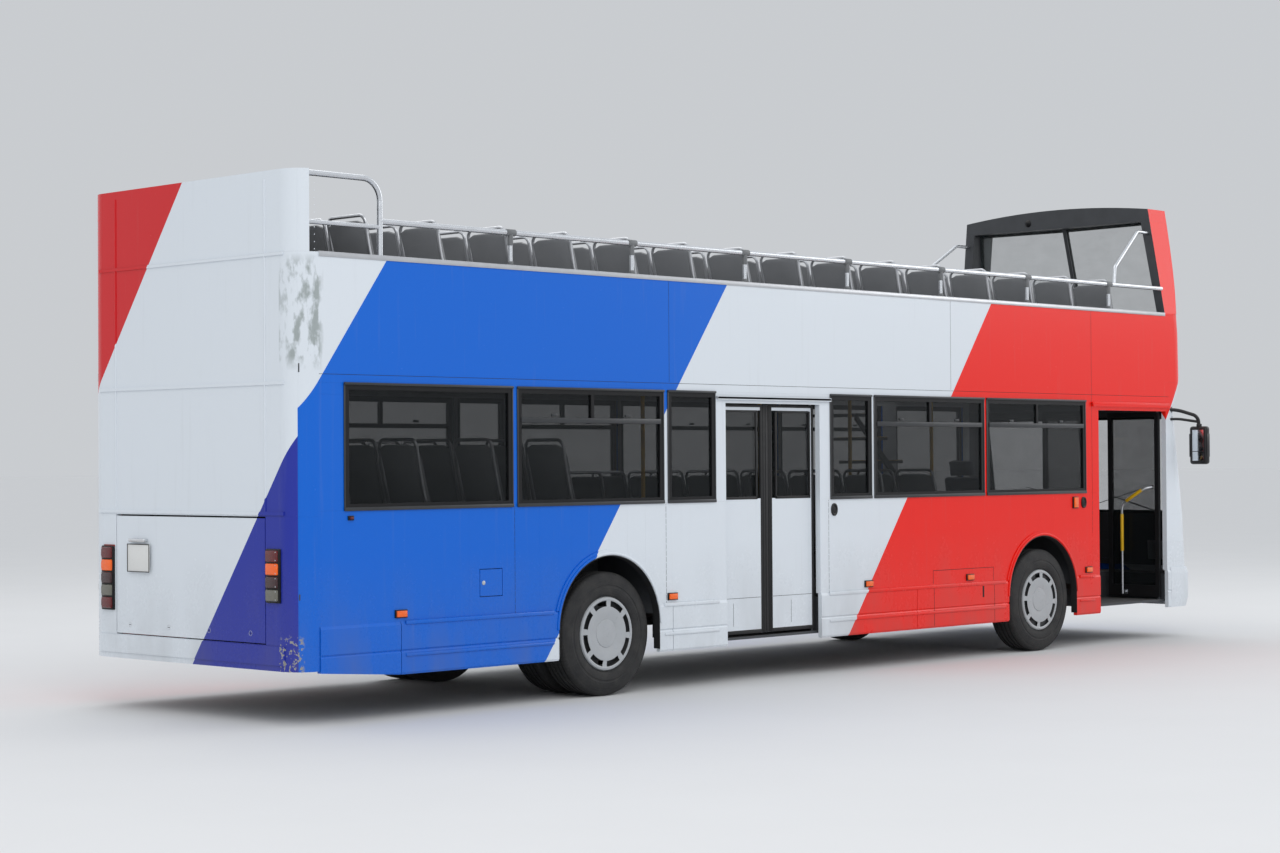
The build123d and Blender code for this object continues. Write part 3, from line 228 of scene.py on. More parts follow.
# %% [markdown]
# ## Paint
# The body wears broad slanted fields: white, blue, white and red along the side, red and violet on
# the tail. They are films laid over the panels, so their edges ignore the seams. Each edge is
# a line X over Z; a mask is 1 ahead of that line. Road dirt gathers low down.

# %% Livery colours and edges
WHITE = (0.71, 0.755, 0.80)
BLUE = (0.0, 0.125, 0.62)
RED = (0.84, 0.012, 0.005)
VIOLET = (0.018, 0.032, 0.33)
TAIL_RED = (0.62, 0.008, 0.012)

CORNER_SPLIT = 0.055    # the side's films meet the tail's halfway round the corner

# Edge name: stations at two heights, read off the photograph
SIDE_EDGES = {
    "white_blue": ((0.171, 2.328), (0.811, 3.221)),
    "blue_white": ((2.317, 0.321), (4.379, 3.220)),
    "white_red": ((5.875, 0.311), (7.979, 3.216)),
}

SLANT = 0.72    # run over rise of the edges that the photograph doesn't show


def ahead_of(finish, edge):
    """1 ahead of a slanted edge of the side, 0 behind it."""
    (s0, z0), (s1, z1) = SIDE_EDGES[edge]
    slope = (s1 - s0) / (z1 - z0)
    line = finish.z * slope + (st(s0) - z0 * slope)
    return finish.x > line


def body_paint(name):
    """The full livery in one finish, so that every panel shows its own part of it."""
    f = Finish(name)
    is_left = f.y > 0.0
    tail = f.x < st(CORNER_SPLIT)
    right = f.mix(ahead_of(f, "white_blue"), WHITE, BLUE)
    right = f.mix(ahead_of(f, "blue_white"), right, WHITE)
    right = f.mix(ahead_of(f, "white_red"), right, RED)
    # On the left side the fields run red, white, blue from the tail, with the same slant
    back_line = f.z * -SLANT + (st(2.35) + SLANT * 0.3)
    mid_line = f.z * -SLANT + (st(6.6) + SLANT * 0.3)
    left = f.mix(f.x > back_line, RED, WHITE)
    left = f.mix(f.x > mid_line, left, BLUE)
    side = f.mix(is_left, right, left)
    # Tail: white, with a red corner at the upper left and a violet one at the lower right
    red_line = (f.y - 0.06) * -1.358 + 3.80
    tail_red = (f.z > red_line).both(f.y > 0.0)
    unrolled = f.y - (f.x - st(0.0)) * 0.27
    violet_line = (unrolled + 0.046) * -1.385 + 0.37
    violet = f.z < violet_line
    rear = f.mix(tail_red, WHITE, TAIL_RED)
    rear = f.mix(violet, rear, VIOLET)
    # Front: the side's red runs round the corner above a slanted edge, then white, then blue low down
    across = (f.x - st(11.02)) + (f.y + SIDE_Y)
    red_edge = across / SLANT + 2.33
    face = f.mix(f.z < red_edge, RED, WHITE)
    face = f.mix(f.z < red_edge - 3.3, face, BLUE)
    hoop = (f.z > SIDE_TOP + 0.005).both(f.x > st(10.40))
    ahead = (f.x > st(10.900)).both(f.y < SIDE_Y - 0.04).either(hoop)
    side = f.mix(ahead, side, face)
    colour = f.mix(tail, side, rear)
    # The right rear corner is rubbed grey beside the deck and chipped down to its primer low down
    corner = f.y < -1.05
    rubbed = f.x.between(st(0.03), st(0.19), 0.05).both(f.z.between(2.52, 3.12, 0.10)).both(corner)
    worn = ((f.noise(15.0, 6.0, (1.0, 1.0, 0.45)) - 0.47) * 8.0).clamp()
    colour = f.mix(rubbed.both(worn) * 0.7, colour, (0.20, 0.235, 0.215))
    struck = f.x.between(st(0.0), st(0.07), 0.02).both(f.z.between(0.38, 0.58, 0.05)).both(corner)
    chips = ((f.noise(34.0, 4.0) - 0.54) * 20.0).clamp()
    colour = f.mix(struck.both(chips), colour, (0.33, 0.32, 0.29))
    dirt = (f.noise(3.0, 6.0, (1.0, 1.0, 0.35)) - 0.42) * 2.2
    low = ((1.15 - f.z) / 0.9).clamp()
    grime = (dirt.clamp() * low * 0.42 + low * 0.05).clamp()
    colour = f.mix(grime, colour, (0.16, 0.145, 0.125))
    streaks = ((f.noise(9.0, 3.0, (2.2, 2.2, 0.12)) - 0.60) * 3.0).clamp() * 0.10
    colour = f.mix(streaks, colour, (0.30, 0.30, 0.29))
    f.feed("Base Color", colour)
    f.feed("Roughness", f.noise(30.0, 3.0) * 0.10 + 0.20 + grime * 0.5)
    waves = f.noise(1.3, 2.0) * 0.9 + f.noise(260.0, 2.0) * 0.02
    f.bump(waves, 0.006, 0.35)
    f.constant(Coat_Weight=0.12, Coat_Roughness=0.05, IOR=1.33)
    return f.material


PAINT = body_paint("livery_paint")
print("livery edges", list(SIDE_EDGES))

# %% [markdown]
# ## Other finishes
# Black window frames and door rubber are satin, tyres are dull and dusty with painted shade in their
# grooves, and the tubes are brushed steel. Each has its own small grain and wear, in real millimetres.

# %% Plastics, rubber, metal and glass


def plastic(name, colour, rough=0.45, grain=900.0, depth=0.0002, spread=0.25, dust=0.0):
    f = Finish(name)
    dark = tuple(c * (1 - spread) for c in colour)
    light = tuple(min(1.0, c * (1 + spread)) for c in colour)
    tone = f.mix(f.noise(7.0, 5.0), dark, light)
    if dust:
        settled = (f.nz.clamp() * dust * f.noise(22.0, 4.0)).clamp()
        tone = f.mix(settled, tone, (0.33, 0.31, 0.28))
    f.feed("Base Color", tone)
    f.feed("Roughness", f.noise(40.0, 3.0) * 0.16 + (rough - 0.08))
    f.bump(f.noise(grain, 2.0), depth)
    f.constant(IOR=1.4)
    return f.material


def steel(name, colour=(0.56, 0.57, 0.58), rough=0.3, stretch=(1.0, 1.0, 1.0)):
    f = Finish(name).constant(Metallic=1.0)
    f.feed("Base Color", f.mix(f.noise(12.0, 5.0), tuple(c * 0.8 for c in colour), colour))
    f.feed("Roughness", f.noise(90.0, 4.0, stretch) * 0.25 + (rough - 0.10))
    f.bump(f.noise(600.0, 2.0, stretch), 0.00003)
    return f.material


def cast(name, colour, rust=0.35):
    f = Finish(name)
    rusty = ((f.noise(14.0, 7.0) - 0.5) * 4.0).clamp() * rust
    f.feed("Base Color", f.mix(rusty, colour, (0.16, 0.065, 0.025)))
    f.feed("Roughness", f.noise(50.0, 4.0) * 0.3 + 0.45)
    f.bump(f.noise(160.0, 4.0), 0.0006)
    return f.material


def tinted_glass(name, tint, alpha):
    f = Finish(name)
    smear = f.noise(5.0, 4.0, (1.0, 1.0, 2.0))
    f.feed("Base Color", f.mix(smear, tuple(c * 0.7 for c in tint), tint))
    f.feed("Roughness", smear * 0.05 + 0.015)
    f.feed("Alpha", smear * 0.08 + (alpha - 0.04))
    f.constant(IOR=1.3)
    return f.material


BLACK = plastic("black_frame", (0.012, 0.012, 0.013), 0.35, dust=0.25)
RUBBER = plastic("door_rubber", (0.016, 0.016, 0.017), 0.6, 500.0, 0.0004, dust=0.3)
GREY_SHELL = plastic("seat_shell_grey", (0.082, 0.086, 0.092), 0.5, 1200.0, 0.00015, dust=0.2)
LINING = plastic("hoop_lining", (0.05, 0.053, 0.058), 0.42, 700.0, 0.0002)
FLOOR = plastic("floor_vinyl", (0.06, 0.064, 0.07), 0.62, 420.0, 0.0005, dust=0.35)
TUBE = steel("tube_steel", (0.72, 0.74, 0.77), 0.26)
ALUMINIUM = steel("edge_aluminium", (0.62, 0.63, 0.65), 0.34, (0.05, 1.0, 1.0))
CHASSIS = cast("chassis_black", (0.022, 0.022, 0.024), 0.30)
IRON = cast("axle_iron", (0.035, 0.034, 0.033), 0.55)
BLACK.node_tree.nodes["Principled BSDF"].inputs["IOR"].default_value = 1.28
SIDE_GLASS = tinted_glass("side_glass", (0.010, 0.012, 0.013), 0.46)
CLEAR_GLASS = tinted_glass("screen_glass", (0.10, 0.13, 0.13), 0.22)
DOOR_GLASS = tinted_glass("door_glass", (0.010, 0.012, 0.013), 0.50)
RIM_DARK = plastic("rim_dark", (0.045, 0.047, 0.050), 0.45, 500.0, 0.0002, dust=0.3)
YELLOW = plastic("pole_yellow", (0.78, 0.46, 0.015), 0.35)
print("finishes ready")


# %% Give each CAD node its finish


def dress(material, *names):
    for name in names:
        mesh = nodes[name].data
        mesh.materials.clear()
        mesh.materials.append(material)
        mesh.polygons.foreach_set("material_index", [0] * len(mesh.polygons))


dress(
    PAINT,
    "right_side_wall",
    "left_side_wall",
    "skirt_panels",
    "upper_side_panels",
    "rear_wall",
    "engine_hatch",
    "nose_panel",
    "front_mask",
    "bumper",
    "upper_hoop",
    "fuel_flap",
    "mid_door_rear_leaf",
    "mid_door_front_leaf",
)
dress(BLACK, "window_frames", "mirrors", "driver_place", "front_door_rear_leaf", "front_door_front_leaf")
dress(SIDE_GLASS, "side_windows")
dress(CLEAR_GLASS, "windscreens")
dress(DOOR_GLASS, *[f"{d}_door_{e}_glass" for d in ("mid", "front") for e in ("rear", "front")])
dress(FLOOR, "lower_floor", "upper_floor", "stairs")
dress(CHASSIS, "chassis_frame", "engine_block")
dress(IRON, "rear_axle", "front_axle", "knuckle_right", "knuckle_left")
dress(TUBE, "handrails")
dress(GREY_SHELL, "upper_seats", "lower_seats")
dress(plastic("tyre_rubber", (0.014, 0.014, 0.015), 0.75, 300.0, 0.0008, dust=0.2),
      "front_tyre_right", "front_tyre_left", "rear_tyres_right", "rear_tyres_left")
dress(RIM_DARK, "front_rim_right", "front_rim_left", "rear_rims_right", "rear_rims_left")
dress(plastic("lamp_red", (0.25, 0.01, 0.008), 0.2), "lamps")
print("dressed", len(nodes), "nodes")

# %% [markdown]
# ## Hand tools
# The pieces below are modelled as by hand: a primitive is added, shaped in edit mode and finished
# with modifiers. These few helpers only save repeating the same selections. A finished piece has its
# place in its mesh and its object at the origin, so that patterns sit still.

# %% Small modelling helpers


def fresh():
    """Object mode with nothing selected."""
    if bpy.context.object and bpy.context.object.mode != "OBJECT":
        bpy.ops.object.mode_set(mode="OBJECT")
    bpy.ops.object.select_all(action="DESELECT")


def alone(piece):
    """Object mode with only this piece selected and active."""
    fresh()
    piece.select_set(True)
    bpy.context.view_layer.objects.active = piece


def twin_of(piece):
    """A copy with its own mesh."""
    twin = piece.copy()
    twin.data = piece.data.copy()
    bpy.context.scene.collection.objects.link(twin)
    return twin


def bake_place(piece):
    """Put the piece's place into its mesh."""
    alone(piece)
    bpy.ops.object.transform_apply(location=True, rotation=True, scale=True)
    return piece


def apply_modifiers(piece):
    alone(piece)
    for modifier in list(piece.modifiers):
        bpy.ops.object.modifier_apply(modifier=modifier.name)
    return piece


def rounded(piece, width, segments=2, angle=35.0):
    """Bevel the sharp edges by a real radius, and shade the rest smooth."""
    if width > 0:
        bevel = piece.modifiers.new("edge", "BEVEL")
        bevel.width, bevel.segments, bevel.limit_method = width, segments, "ANGLE"
        bevel.angle_limit = math.radians(angle)
        bevel.use_clamp_overlap = True
    apply_modifiers(piece)
    bpy.ops.object.shade_smooth_by_angle(angle=math.radians(40))
    return piece


def slab(name, low, high, edge=0.002, segments=2):
    """A bevelled block between two corners, each (x, y, z) in metres."""
    fresh()
    low, high = Vector(low), Vector(high)
    a = Vector(map(min, low, high))
    b = Vector(map(max, low, high))
    bpy.ops.mesh.primitive_cube_add(size=1.0, location=(a + b) / 2, scale=(b - a))
    piece = bpy.context.object
    piece.name = name
    bake_place(piece)
    return rounded(piece, edge, segments)


def rod(name, start, end, radius, sides=20, edge=0.0):
    """A round bar between two points."""
    fresh()
    start, end = Vector(start), Vector(end)
    axis = end - start
    bpy.ops.mesh.primitive_cylinder_add(
        vertices=sides,
        radius=radius,
        depth=axis.length,
        location=(start + end) / 2,
        rotation=axis.to_track_quat("Z", "Y").to_euler(),
    )
    piece = bpy.context.object
    piece.name = name
    bake_place(piece)
    return rounded(piece, edge, 2, 50.0)


def bent_rod(name, points, radius, bend=0.05, sides=3):
    """A tube along straight runs whose corners are rounded by bevelling the line itself."""
    line = ribbon_line(name, points)
    alone(line)
    if bend > 0 and len(points) > 2:
        bpy.ops.object.mode_set(mode="EDIT")
        bpy.ops.mesh.select_all(action="SELECT")
        bpy.ops.mesh.bevel(offset=bend, segments=5, affect="VERTICES", clamp_overlap=True)
        bpy.ops.object.mode_set(mode="OBJECT")
    bpy.ops.object.convert(target="CURVE")
    line.data.bevel_depth = radius
    line.data.bevel_resolution = sides
    line.data.use_fill_caps = True
    bpy.ops.object.convert(target="MESH")
    bpy.ops.object.shade_smooth_by_angle(angle=math.radians(40))
    return line


def ribbon_line(name, points):
    """A line of edges drawn by extruding one vertex from point to point."""
    fresh()
    bpy.ops.mesh.primitive_plane_add(size=0.01, location=points[0])
    piece = bpy.context.object
    piece.name = name
    bake_place(piece)
    bpy.ops.object.mode_set(mode="EDIT")
    bpy.ops.mesh.select_mode(type="VERT")
    bpy.ops.mesh.select_all(action="SELECT")
    bpy.ops.mesh.merge(type="CENTER")
    for a, b in zip(points, points[1:]):
        bpy.ops.mesh.extrude_region_move(TRANSFORM_OT_translate={"value": Vector(b) - Vector(a)})
    bpy.ops.object.mode_set(mode="OBJECT")
    return piece


def turned(name, profile, centre, axis=(0, 1, 0), steps=64, smooth=40.0):
    """Spin an open or closed profile of (along the axis, radius) about a line along Y."""
    cx, cy, cz = centre
    points = [(cx, cy + along, cz - radius) for along, radius in profile]
    piece = ribbon_line(name, points)
    alone(piece)
    bpy.ops.object.mode_set(mode="EDIT")
    bpy.ops.mesh.select_all(action="SELECT")
    bpy.ops.mesh.spin(steps=steps, angle=2 * math.pi, center=centre, axis=axis)
    bpy.ops.mesh.select_all(action="SELECT")
    bpy.ops.mesh.remove_doubles(threshold=0.00005)
    bpy.ops.mesh.normals_make_consistent(inside=False)
    bpy.ops.object.mode_set(mode="OBJECT")
    bpy.ops.object.shade_smooth_by_angle(angle=math.radians(smooth))
    return piece


def ribbon(name, points, across, thickness, edge=0.0, segments=2):
    """A bent sheet: a line swept sideways by one vector, given a thickness and soft edges."""
    piece = ribbon_line(name, points)
    alone(piece)
    bpy.ops.object.mode_set(mode="EDIT")
    bpy.ops.mesh.select_all(action="SELECT")
    bpy.ops.mesh.extrude_region_move(TRANSFORM_OT_translate={"value": Vector(across)})
    bpy.ops.mesh.select_all(action="SELECT")
    bpy.ops.mesh.normals_make_consistent(inside=False)
    bpy.ops.object.mode_set(mode="OBJECT")
    wall = piece.modifiers.new("wall", "SOLIDIFY")
    wall.thickness, wall.offset = thickness, 0.0
    return rounded(piece, edge, segments)


def join(name, pieces):
    """Several meshes as one piece."""
    fresh()
    for piece in pieces:
        piece.select_set(True)
    bpy.context.view_layer.objects.active = pieces[0]
    if len(pieces) > 1:
        bpy.ops.object.join()
    joined = bpy.context.view_layer.objects.active
    joined.name = name
    return joined


def copies(piece, offsets):
    """The piece and its copies, each with its own mesh, moved by each offset."""
    made = []
    for offset in offsets:
        made.append(twin_of(piece))
        made[-1].data.transform(Matrix.Translation(offset))
    bpy.data.objects.remove(piece)
    return made


def mirrored(piece):
    """A copy on the other side of the bus, with its faces turned the right way out."""
    twin = twin_of(piece)
    twin.data.transform(Matrix.Scale(-1, 4, (0, 1, 0)))
    twin.data.flip_normals()
    return twin


def tilted(piece, place, degrees, axis):
    """Turn a piece drawn at the origin about one axis, then carry it to its place."""
    turn = Matrix.Rotation(math.radians(degrees), 4, axis)
    piece.data.transform(Matrix.Translation(place) @ turn)
    return piece


def choose(piece, test):
    """Select the vertices whose place passes the test, and go to edit mode."""
    alone(piece)
    for polygon in piece.data.polygons:
        polygon.select = False
    for edge in piece.data.edges:
        edge.select = False
    for vertex in piece.data.vertices:
        vertex.select = test(vertex.co)
    bpy.ops.object.mode_set(mode="EDIT")
    bpy.ops.mesh.select_mode(type="VERT")


def nudge(piece, test, move):
    """Move the vertices whose place passes the test."""
    choose(piece, test)
    bpy.ops.transform.translate(value=move)
    bpy.ops.object.mode_set(mode="OBJECT")


def choose_faces(piece, test):
    """Select the faces that pass the test, and go to edit mode."""
    choose(piece, lambda c: False)
    bpy.ops.object.mode_set(mode="OBJECT")
    bpy.context.tool_settings.mesh_select_mode = (False, False, True)
    for polygon in piece.data.polygons:
        polygon.select = test(polygon)
    bpy.ops.object.mode_set(mode="EDIT")


def with_material(piece, material):
    piece.data.materials.clear()
    piece.data.materials.append(material)
    return piece


def done(piece, material, body="body"):
    """Give the piece its finish, or leave its own with None, and let it ride on its body."""
    if material and not piece.data.materials:
        piece.data.materials.append(material)
    elif material:
        for k in range(len(piece.data.materials)):
            piece.data.materials[k] = material
    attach(piece, body)
    return piece


print("hand tools ready")

# %% [markdown]
# ## Inside faces
# A body panel is painted outside and lined inside. The CAD wall is one solid, so its faces are
# sorted by the way they face: those that look inwards take a second material slot.

# %% Line the faces that look inwards
LINER = plastic("wall_liner", (0.30, 0.31, 0.32), 0.55, 350.0, 0.0003)
DARK_LINER = plastic("deck_liner", (0.16, 0.165, 0.17), 0.55, 350.0, 0.0003)


def line_inside(name, material, looks_in):
    mesh = nodes[name].data
    mesh.materials.append(material)
    second = len(mesh.materials) - 1
    count = 0
    for face in mesh.polygons:
        if looks_in(face.normal, face.center):
            face.material_index = second
            count += 1
    print(name, "lined faces", count)


for side, s in (("right", -1), ("left", 1)):
    line_inside(f"{side}_side_wall", LINER, lambda n, c, s=s: n.y * s < -0.5 or abs(c.y) < 1.19)
line_inside("upper_side_panels", DARK_LINER, lambda n, c: n.y * c.y < 0 and abs(n.y) > 0.5)
line_inside("rear_wall", DARK_LINER, lambda n, c: n.x > 0.5 and c.x > st(0.05) and abs(c.y) < 1.2)
line_inside(
    "nose_panel",
    DARK_LINER,
    lambda n, c: (n.x < -0.3 and abs(c.y) < 1.2) or (n.y * c.y < 0 and abs(n.y) > 0.3) or n.z > 0.9,
)
line_inside("front_mask", LINING, lambda n, c: n.x < -0.3 or (n.y * c.y < 0 and abs(n.y) > 0.3))
line_inside(
    "upper_hoop",
    LINING,
    lambda n, c: n.x < -0.5
    or (n.y * c.y < 0 and abs(n.y) > 0.4)
    or n.z < -0.5
    or (abs(c.y) < 0.06 and c.z < 4.15),
)
line_inside("handrails", YELLOW, lambda n, c: c.z < 2.412)
line_inside("lamps", ALUMINIUM, lambda n, c: c.x > 0)

# %% [markdown]
# ## Window trim
# Each side window sits in a black rubber frame. A drip rail runs over it and a grey glazing bar
# under it, and the hopper windows carry a sash rail with two latches. One bar is drawn for each
# run and bevelled by a millimetre or two, because a sharp edge never catches light.

# %% Drip rails, glazing bars and sash rails
WINDOW_LOW, WINDOW_HIGH, SASH_Z = 1.463, 2.341, 2.099
RIGHT_WINDOWS = [
    (0.407, 1.997, False),
    (2.040, 3.611, True),
    (3.655, 4.213, False),
    (5.651, 6.208, False),
    (6.243, 7.842, True),
    (7.879, 9.478, True),
]
LEFT_WINDOWS = RIGHT_WINDOWS[:3] + [(4.260, 5.604, True)] + RIGHT_WINDOWS[3:]
BAR_GREY = plastic("glazing_bar", (0.036, 0.038, 0.041), 0.33, 600.0, 0.0001)


def window_trim(s, windows):
    made = []
    for first, last, hopper in windows:
        a, b = st(first) - 0.002, st(last) + 0.002
        # Each bar: its name, X from and to, Y from and to, Z from and to, and its soft edge
        bars = [
            ("rail", a, b, 1.252, 1.267, WINDOW_HIGH - 0.012, WINDOW_HIGH + 0.006, 0.004),
            ("bar", a, b, 1.252, 1.263, WINDOW_LOW - 0.004, WINDOW_LOW + 0.022, 0.004),
        ]
        for x in (a, b - 0.012):
            bars.append(("bead", x, x + 0.012, 1.252, 1.258, WINDOW_LOW + 0.02, WINDOW_HIGH - 0.01, 0.002))
        if hopper:
            bars.append(("sash", a + 0.04, b - 0.04, 1.245, 1.262, SASH_Z - 0.020, SASH_Z + 0.020, 0.005))
            for x in (a + (b - a) * share for share in (0.25, 0.75)):
                bars.append(("latch", x - 0.03, x + 0.03, 1.235, 1.25, SASH_Z + 0.03, SASH_Z + 0.05, 0.004))
        for name, x0, x1, y0, y1, z0, z1, edge in bars:
            made.append(slab(name, (x0, s * y0, z0), (x1, s * y1, z1), edge))
    return made


for side, s, windows in (("right", -1, RIGHT_WINDOWS), ("left", 1, LEFT_WINDOWS)):
    trim = join(f"window_trim_{side}", window_trim(s, windows))
    done(trim, BAR_GREY, "body")
    print(trim.name, len(trim.data.polygons), "faces")

# %% [markdown]
# ## Coping and panel joints
# The open deck's edge is capped by a bright aluminium angle. The panels below it meet at seams, drawn
# as thin dark lines of painted shadow. Both run straight for metres, which is what makes a body look true.

# %% Coping, rivets and painted seam shadows


def coping(s):
    back, front = st(0.192), st(10.904)
    top = slab("cap", (back, s * 1.198, SIDE_TOP - 0.002), (front, s * 1.256, SIDE_TOP + 0.006), 0.003)
    face = slab("face", (back, s * 1.2505, SIDE_TOP - 0.030), (front, s * 1.256, SIDE_TOP), 0.002)
    return [top, face]


for side, s in (("right", -1), ("left", 1)):
    done(join(f"coping_{side}", coping(s)), ALUMINIUM, "body")


def rivet_row(station, y, low, high, count):
    """Flat domed rivets one above another on a side."""
    fresh()
    bpy.ops.mesh.primitive_uv_sphere_add(segments=8, ring_count=4, radius=0.004)
    rivet = bpy.context.object
    rivet.scale = (1.0, 0.35, 1.0)
    bake_place(rivet)
    bpy.ops.object.shade_smooth()
    start, end = Vector((st(station), y, low)), Vector((st(station), y, high))
    return join("row", copies(rivet, [start.lerp(end, k / (count - 1)) for k in range(count)]))


rows = []
for s in (-1, 1):
    for station in (0.205, 2.013, 3.633, 5.628, 9.588):
        rows.append(rivet_row(station, s * 1.2505, 0.70, 1.44, 16))
    rows.append(rivet_row(0.16, s * 1.2485, 2.45, 3.70, 26))
done(join("body_rivets", rows), PAINT, "body")
# Panel seams, the hatch's edges and the key slot are thin dark slabs of painted shadow
SEAM_SHADOW = plastic("seam_shadow", (0.012, 0.012, 0.012), 0.8)


def upright_seam(station, y0, y1, low, high, half=0.0015):
    """A thin dark line of painted seam shadow that stands a hair proud of the panel."""
    return slab("seam", (st(station) - half, y0, low), (st(station) + half, y1, high), 0)


seams = []
for s in (-1, 1):
    for station, low, high in (
        (2.013, 0.68, 1.455),
        (3.633, 0.68, 1.455),
        (5.628, 0.68, 1.455),
        (9.588, 1.08, 3.20),
        (7.35, 2.41, 3.20),
        (3.68, 2.41, 3.20),
    ):
        seams.append(upright_seam(station, s * 1.2498, s * 1.2504, low, high))
    seams.append(slab("seam", (st(0.192), s * 1.2498, 2.3985), (st(10.96), s * 1.2504, 2.4015), 0))
# The battery cover of the right side, outlined in painted shadow, with a dark slot of painted shade for its
# key
for station in (7.070, 7.972):
    seams.append(upright_seam(station, -1.2497, -1.2506, 0.690, 0.808, 0.002))
    seams.append(upright_seam(station, -1.2597, -1.2606, 0.320, 0.648, 0.002))
seams.append(slab("seam", (st(7.070), -1.2497, 0.806), (st(7.972), -1.2506, 0.810), 0))
seams.append(slab("slot", (st(7.790), -1.2590, 0.543), (st(7.812), -1.2615, 0.643), 0.0008, 1))
done(join("panel_seams", seams), SEAM_SHADOW, "body")
print("coping, rivets and seams made")

# %% [markdown]
# ## Handrail fittings
# The rails are plain tubes in the CAD. Real ones are held by dark cast sockets: a tee where a post
# meets the rail and a flanged foot where it stands on the coping.

# %% Tees, feet and couplings
RAIL_Z, RAIL_Y = 3.478, 1.222
POSTS = [2.010, 3.294, 4.614, 5.931, 7.248, 8.575, 9.936]
CAST_GREY = plastic("cast_grey", (0.16, 0.165, 0.17), 0.42, 500.0, 0.0003)


def rail_fitting(s):
    y, foot_z = s * RAIL_Y, SIDE_TOP + 0.004
    tee = rod("tee", (-0.045, y, RAIL_Z), (0.045, y, RAIL_Z), 0.0265, 24, 0.004)
    socket = rod("socket", (0, y, RAIL_Z - 0.095), (0, y, RAIL_Z - 0.005), 0.0215, 20, 0.004)
    foot = rod("foot", (0, y, foot_z), (0, y, foot_z + 0.030), 0.0235, 20, 0.006)
    flange = slab("flange", (-0.042, y - 0.021, foot_z), (0.042, y + 0.021, foot_z + 0.006), 0.003)
    bolts = [
        rod("bolt", (x, y, foot_z + 0.006), (x, y, foot_z + 0.012), 0.006, 6, 0.001) for x in (-0.032, 0.032)
    ]
    return join("fitting", [tee, socket, foot, flange, *bolts])


for side, s in (("right", -1), ("left", 1)):
    fittings = join(
        f"rail_fittings_{side}", copies(rail_fitting(s), [(st(station), 0, 0) for station in POSTS])
    )
    done(fittings, CAST_GREY, "body")
    print(fittings.name, len(fittings.data.polygons), "faces")

# %% [markdown]
# ## Tyres
# A bus tyre has a flat ribbed tread with zigzag grooves and a smooth wall with raised rings. The
# section is drawn as a line and spun about the axle. The fine zigzag and the shoulder lugs are
# bump, worked from the angle about the axle, so they repeat evenly round the tyre.

# %% Tyre section and rubber


def tyre_rubber(name, station):
    f = Finish(name)
    across, up = f.x - st(station), f.z - AXLE_Z
    radius = (across * across + up * up).math("SQRT")
    angle = up.math("ARCTAN2", across)
    tread = radius > 0.452
    teeth = (angle * 96.0).math("SINE")
    zigzag = ((f.y * 260.0 + (angle * 48.0).math("SINE") * 0.9).math("SINE") > 0.86) * tread
    sipes = (teeth > 0.72) * tread
    rings = ((radius * 340.0).math("SINE") > 0.93) * (1.0 - tread) * 0.25
    dust = ((f.noise(9.0, 6.0) - 0.38) * 1.5).clamp()
    worn = f.mix(dust * 0.55, (0.011, 0.011, 0.012), (0.075, 0.070, 0.062))
    # The grooves, which are only bump, are painted darker: painted shade in the tread's recesses
    painted_groove_shade = f.mix((zigzag + sipes).clamp() * 0.7, worn, (0.005, 0.005, 0.005))
    f.feed("Base Color", painted_groove_shade)
    f.feed("Roughness", f.noise(60.0, 3.0) * 0.2 + 0.62)
    height = (1.0 - (zigzag + sipes).clamp()) * 1.0 + rings + f.noise(420.0, 3.0) * 0.08
    f.bump(height, 0.004, 0.8)
    return f.material


TREAD_HALF = 0.118
TYRE_W = 0.275


def tyre(name, station, face, s):
    """face is the outer sidewall's Y; s is the side."""
    half = TYRE_W / 2
    wall = [
        (-half + 0.018, 0.288),
        (-half + 0.006, 0.305),
        (-half + 0.001, 0.335),
        (-half + 0.000, 0.352),
        (-half + 0.003, 0.356),
        (-half + 0.003, 0.372),
        (-half - 0.000, 0.376),
        (-half + 0.003, 0.410),
        (-half + 0.010, 0.438),
        (-half + 0.016, 0.446),
        (-half + 0.017, 0.456),
        (-half + 0.024, 0.466),
        (-TREAD_HALF + 0.012, 0.471),
    ]
    tread = []
    for centre in (-0.066, -0.022, 0.022, 0.066):
        crown = 0.475 - abs(centre) * 0.02
        for beside, deep in ((-0.009, 0), (-0.006, 0.012), (0.006, 0.012), (0.009, 0)):
            tread.append((centre + beside, crown - deep))
    profile = wall + tread + [(-y, r) for y, r in reversed(wall)]
    profile.append((half - 0.030, 0.284))
    profile.append((-half + 0.030, 0.284))
    profile.append(profile[0])
    centre = (st(station), s * (abs(face) - half), AXLE_Z)
    return turned(name, profile, centre, steps=96, smooth=38.0)


FRONT_RUBBER = tyre_rubber("front_tyre_rubber", FRONT_AXLE)
REAR_RUBBER = tyre_rubber("rear_tyre_rubber", REAR_AXLE)
for side, s in (("right", -1), ("left", 1)):
    front = tyre(f"front_tyre_tread_{side}", FRONT_AXLE, 1.225, s)
    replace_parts(done(front, FRONT_RUBBER, f"front_wheel_{side}"), f"front_tyre_{side}")
    twins = [tyre("outer", REAR_AXLE, 1.225, s), tyre("inner", REAR_AXLE, 0.900, s)]
    rear = join(f"rear_tyre_treads_{side}", twins)
    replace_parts(done(rear, REAR_RUBBER, f"rear_wheels_{side}"), f"rear_tyres_{side}")
    print(side, "tyre faces", len(front.data.polygons), len(rear.data.polygons))

# %% [markdown]
# ## Wheel trims
# Each wheel shows a pressed silver cover with eight slots near its rim and a round boss in the middle.
# A profile is spun in 64 steps, then the faces of two bands are opened, six in every eight, so the
# slots are real holes with the dark rim behind them.

# %% Slotted covers


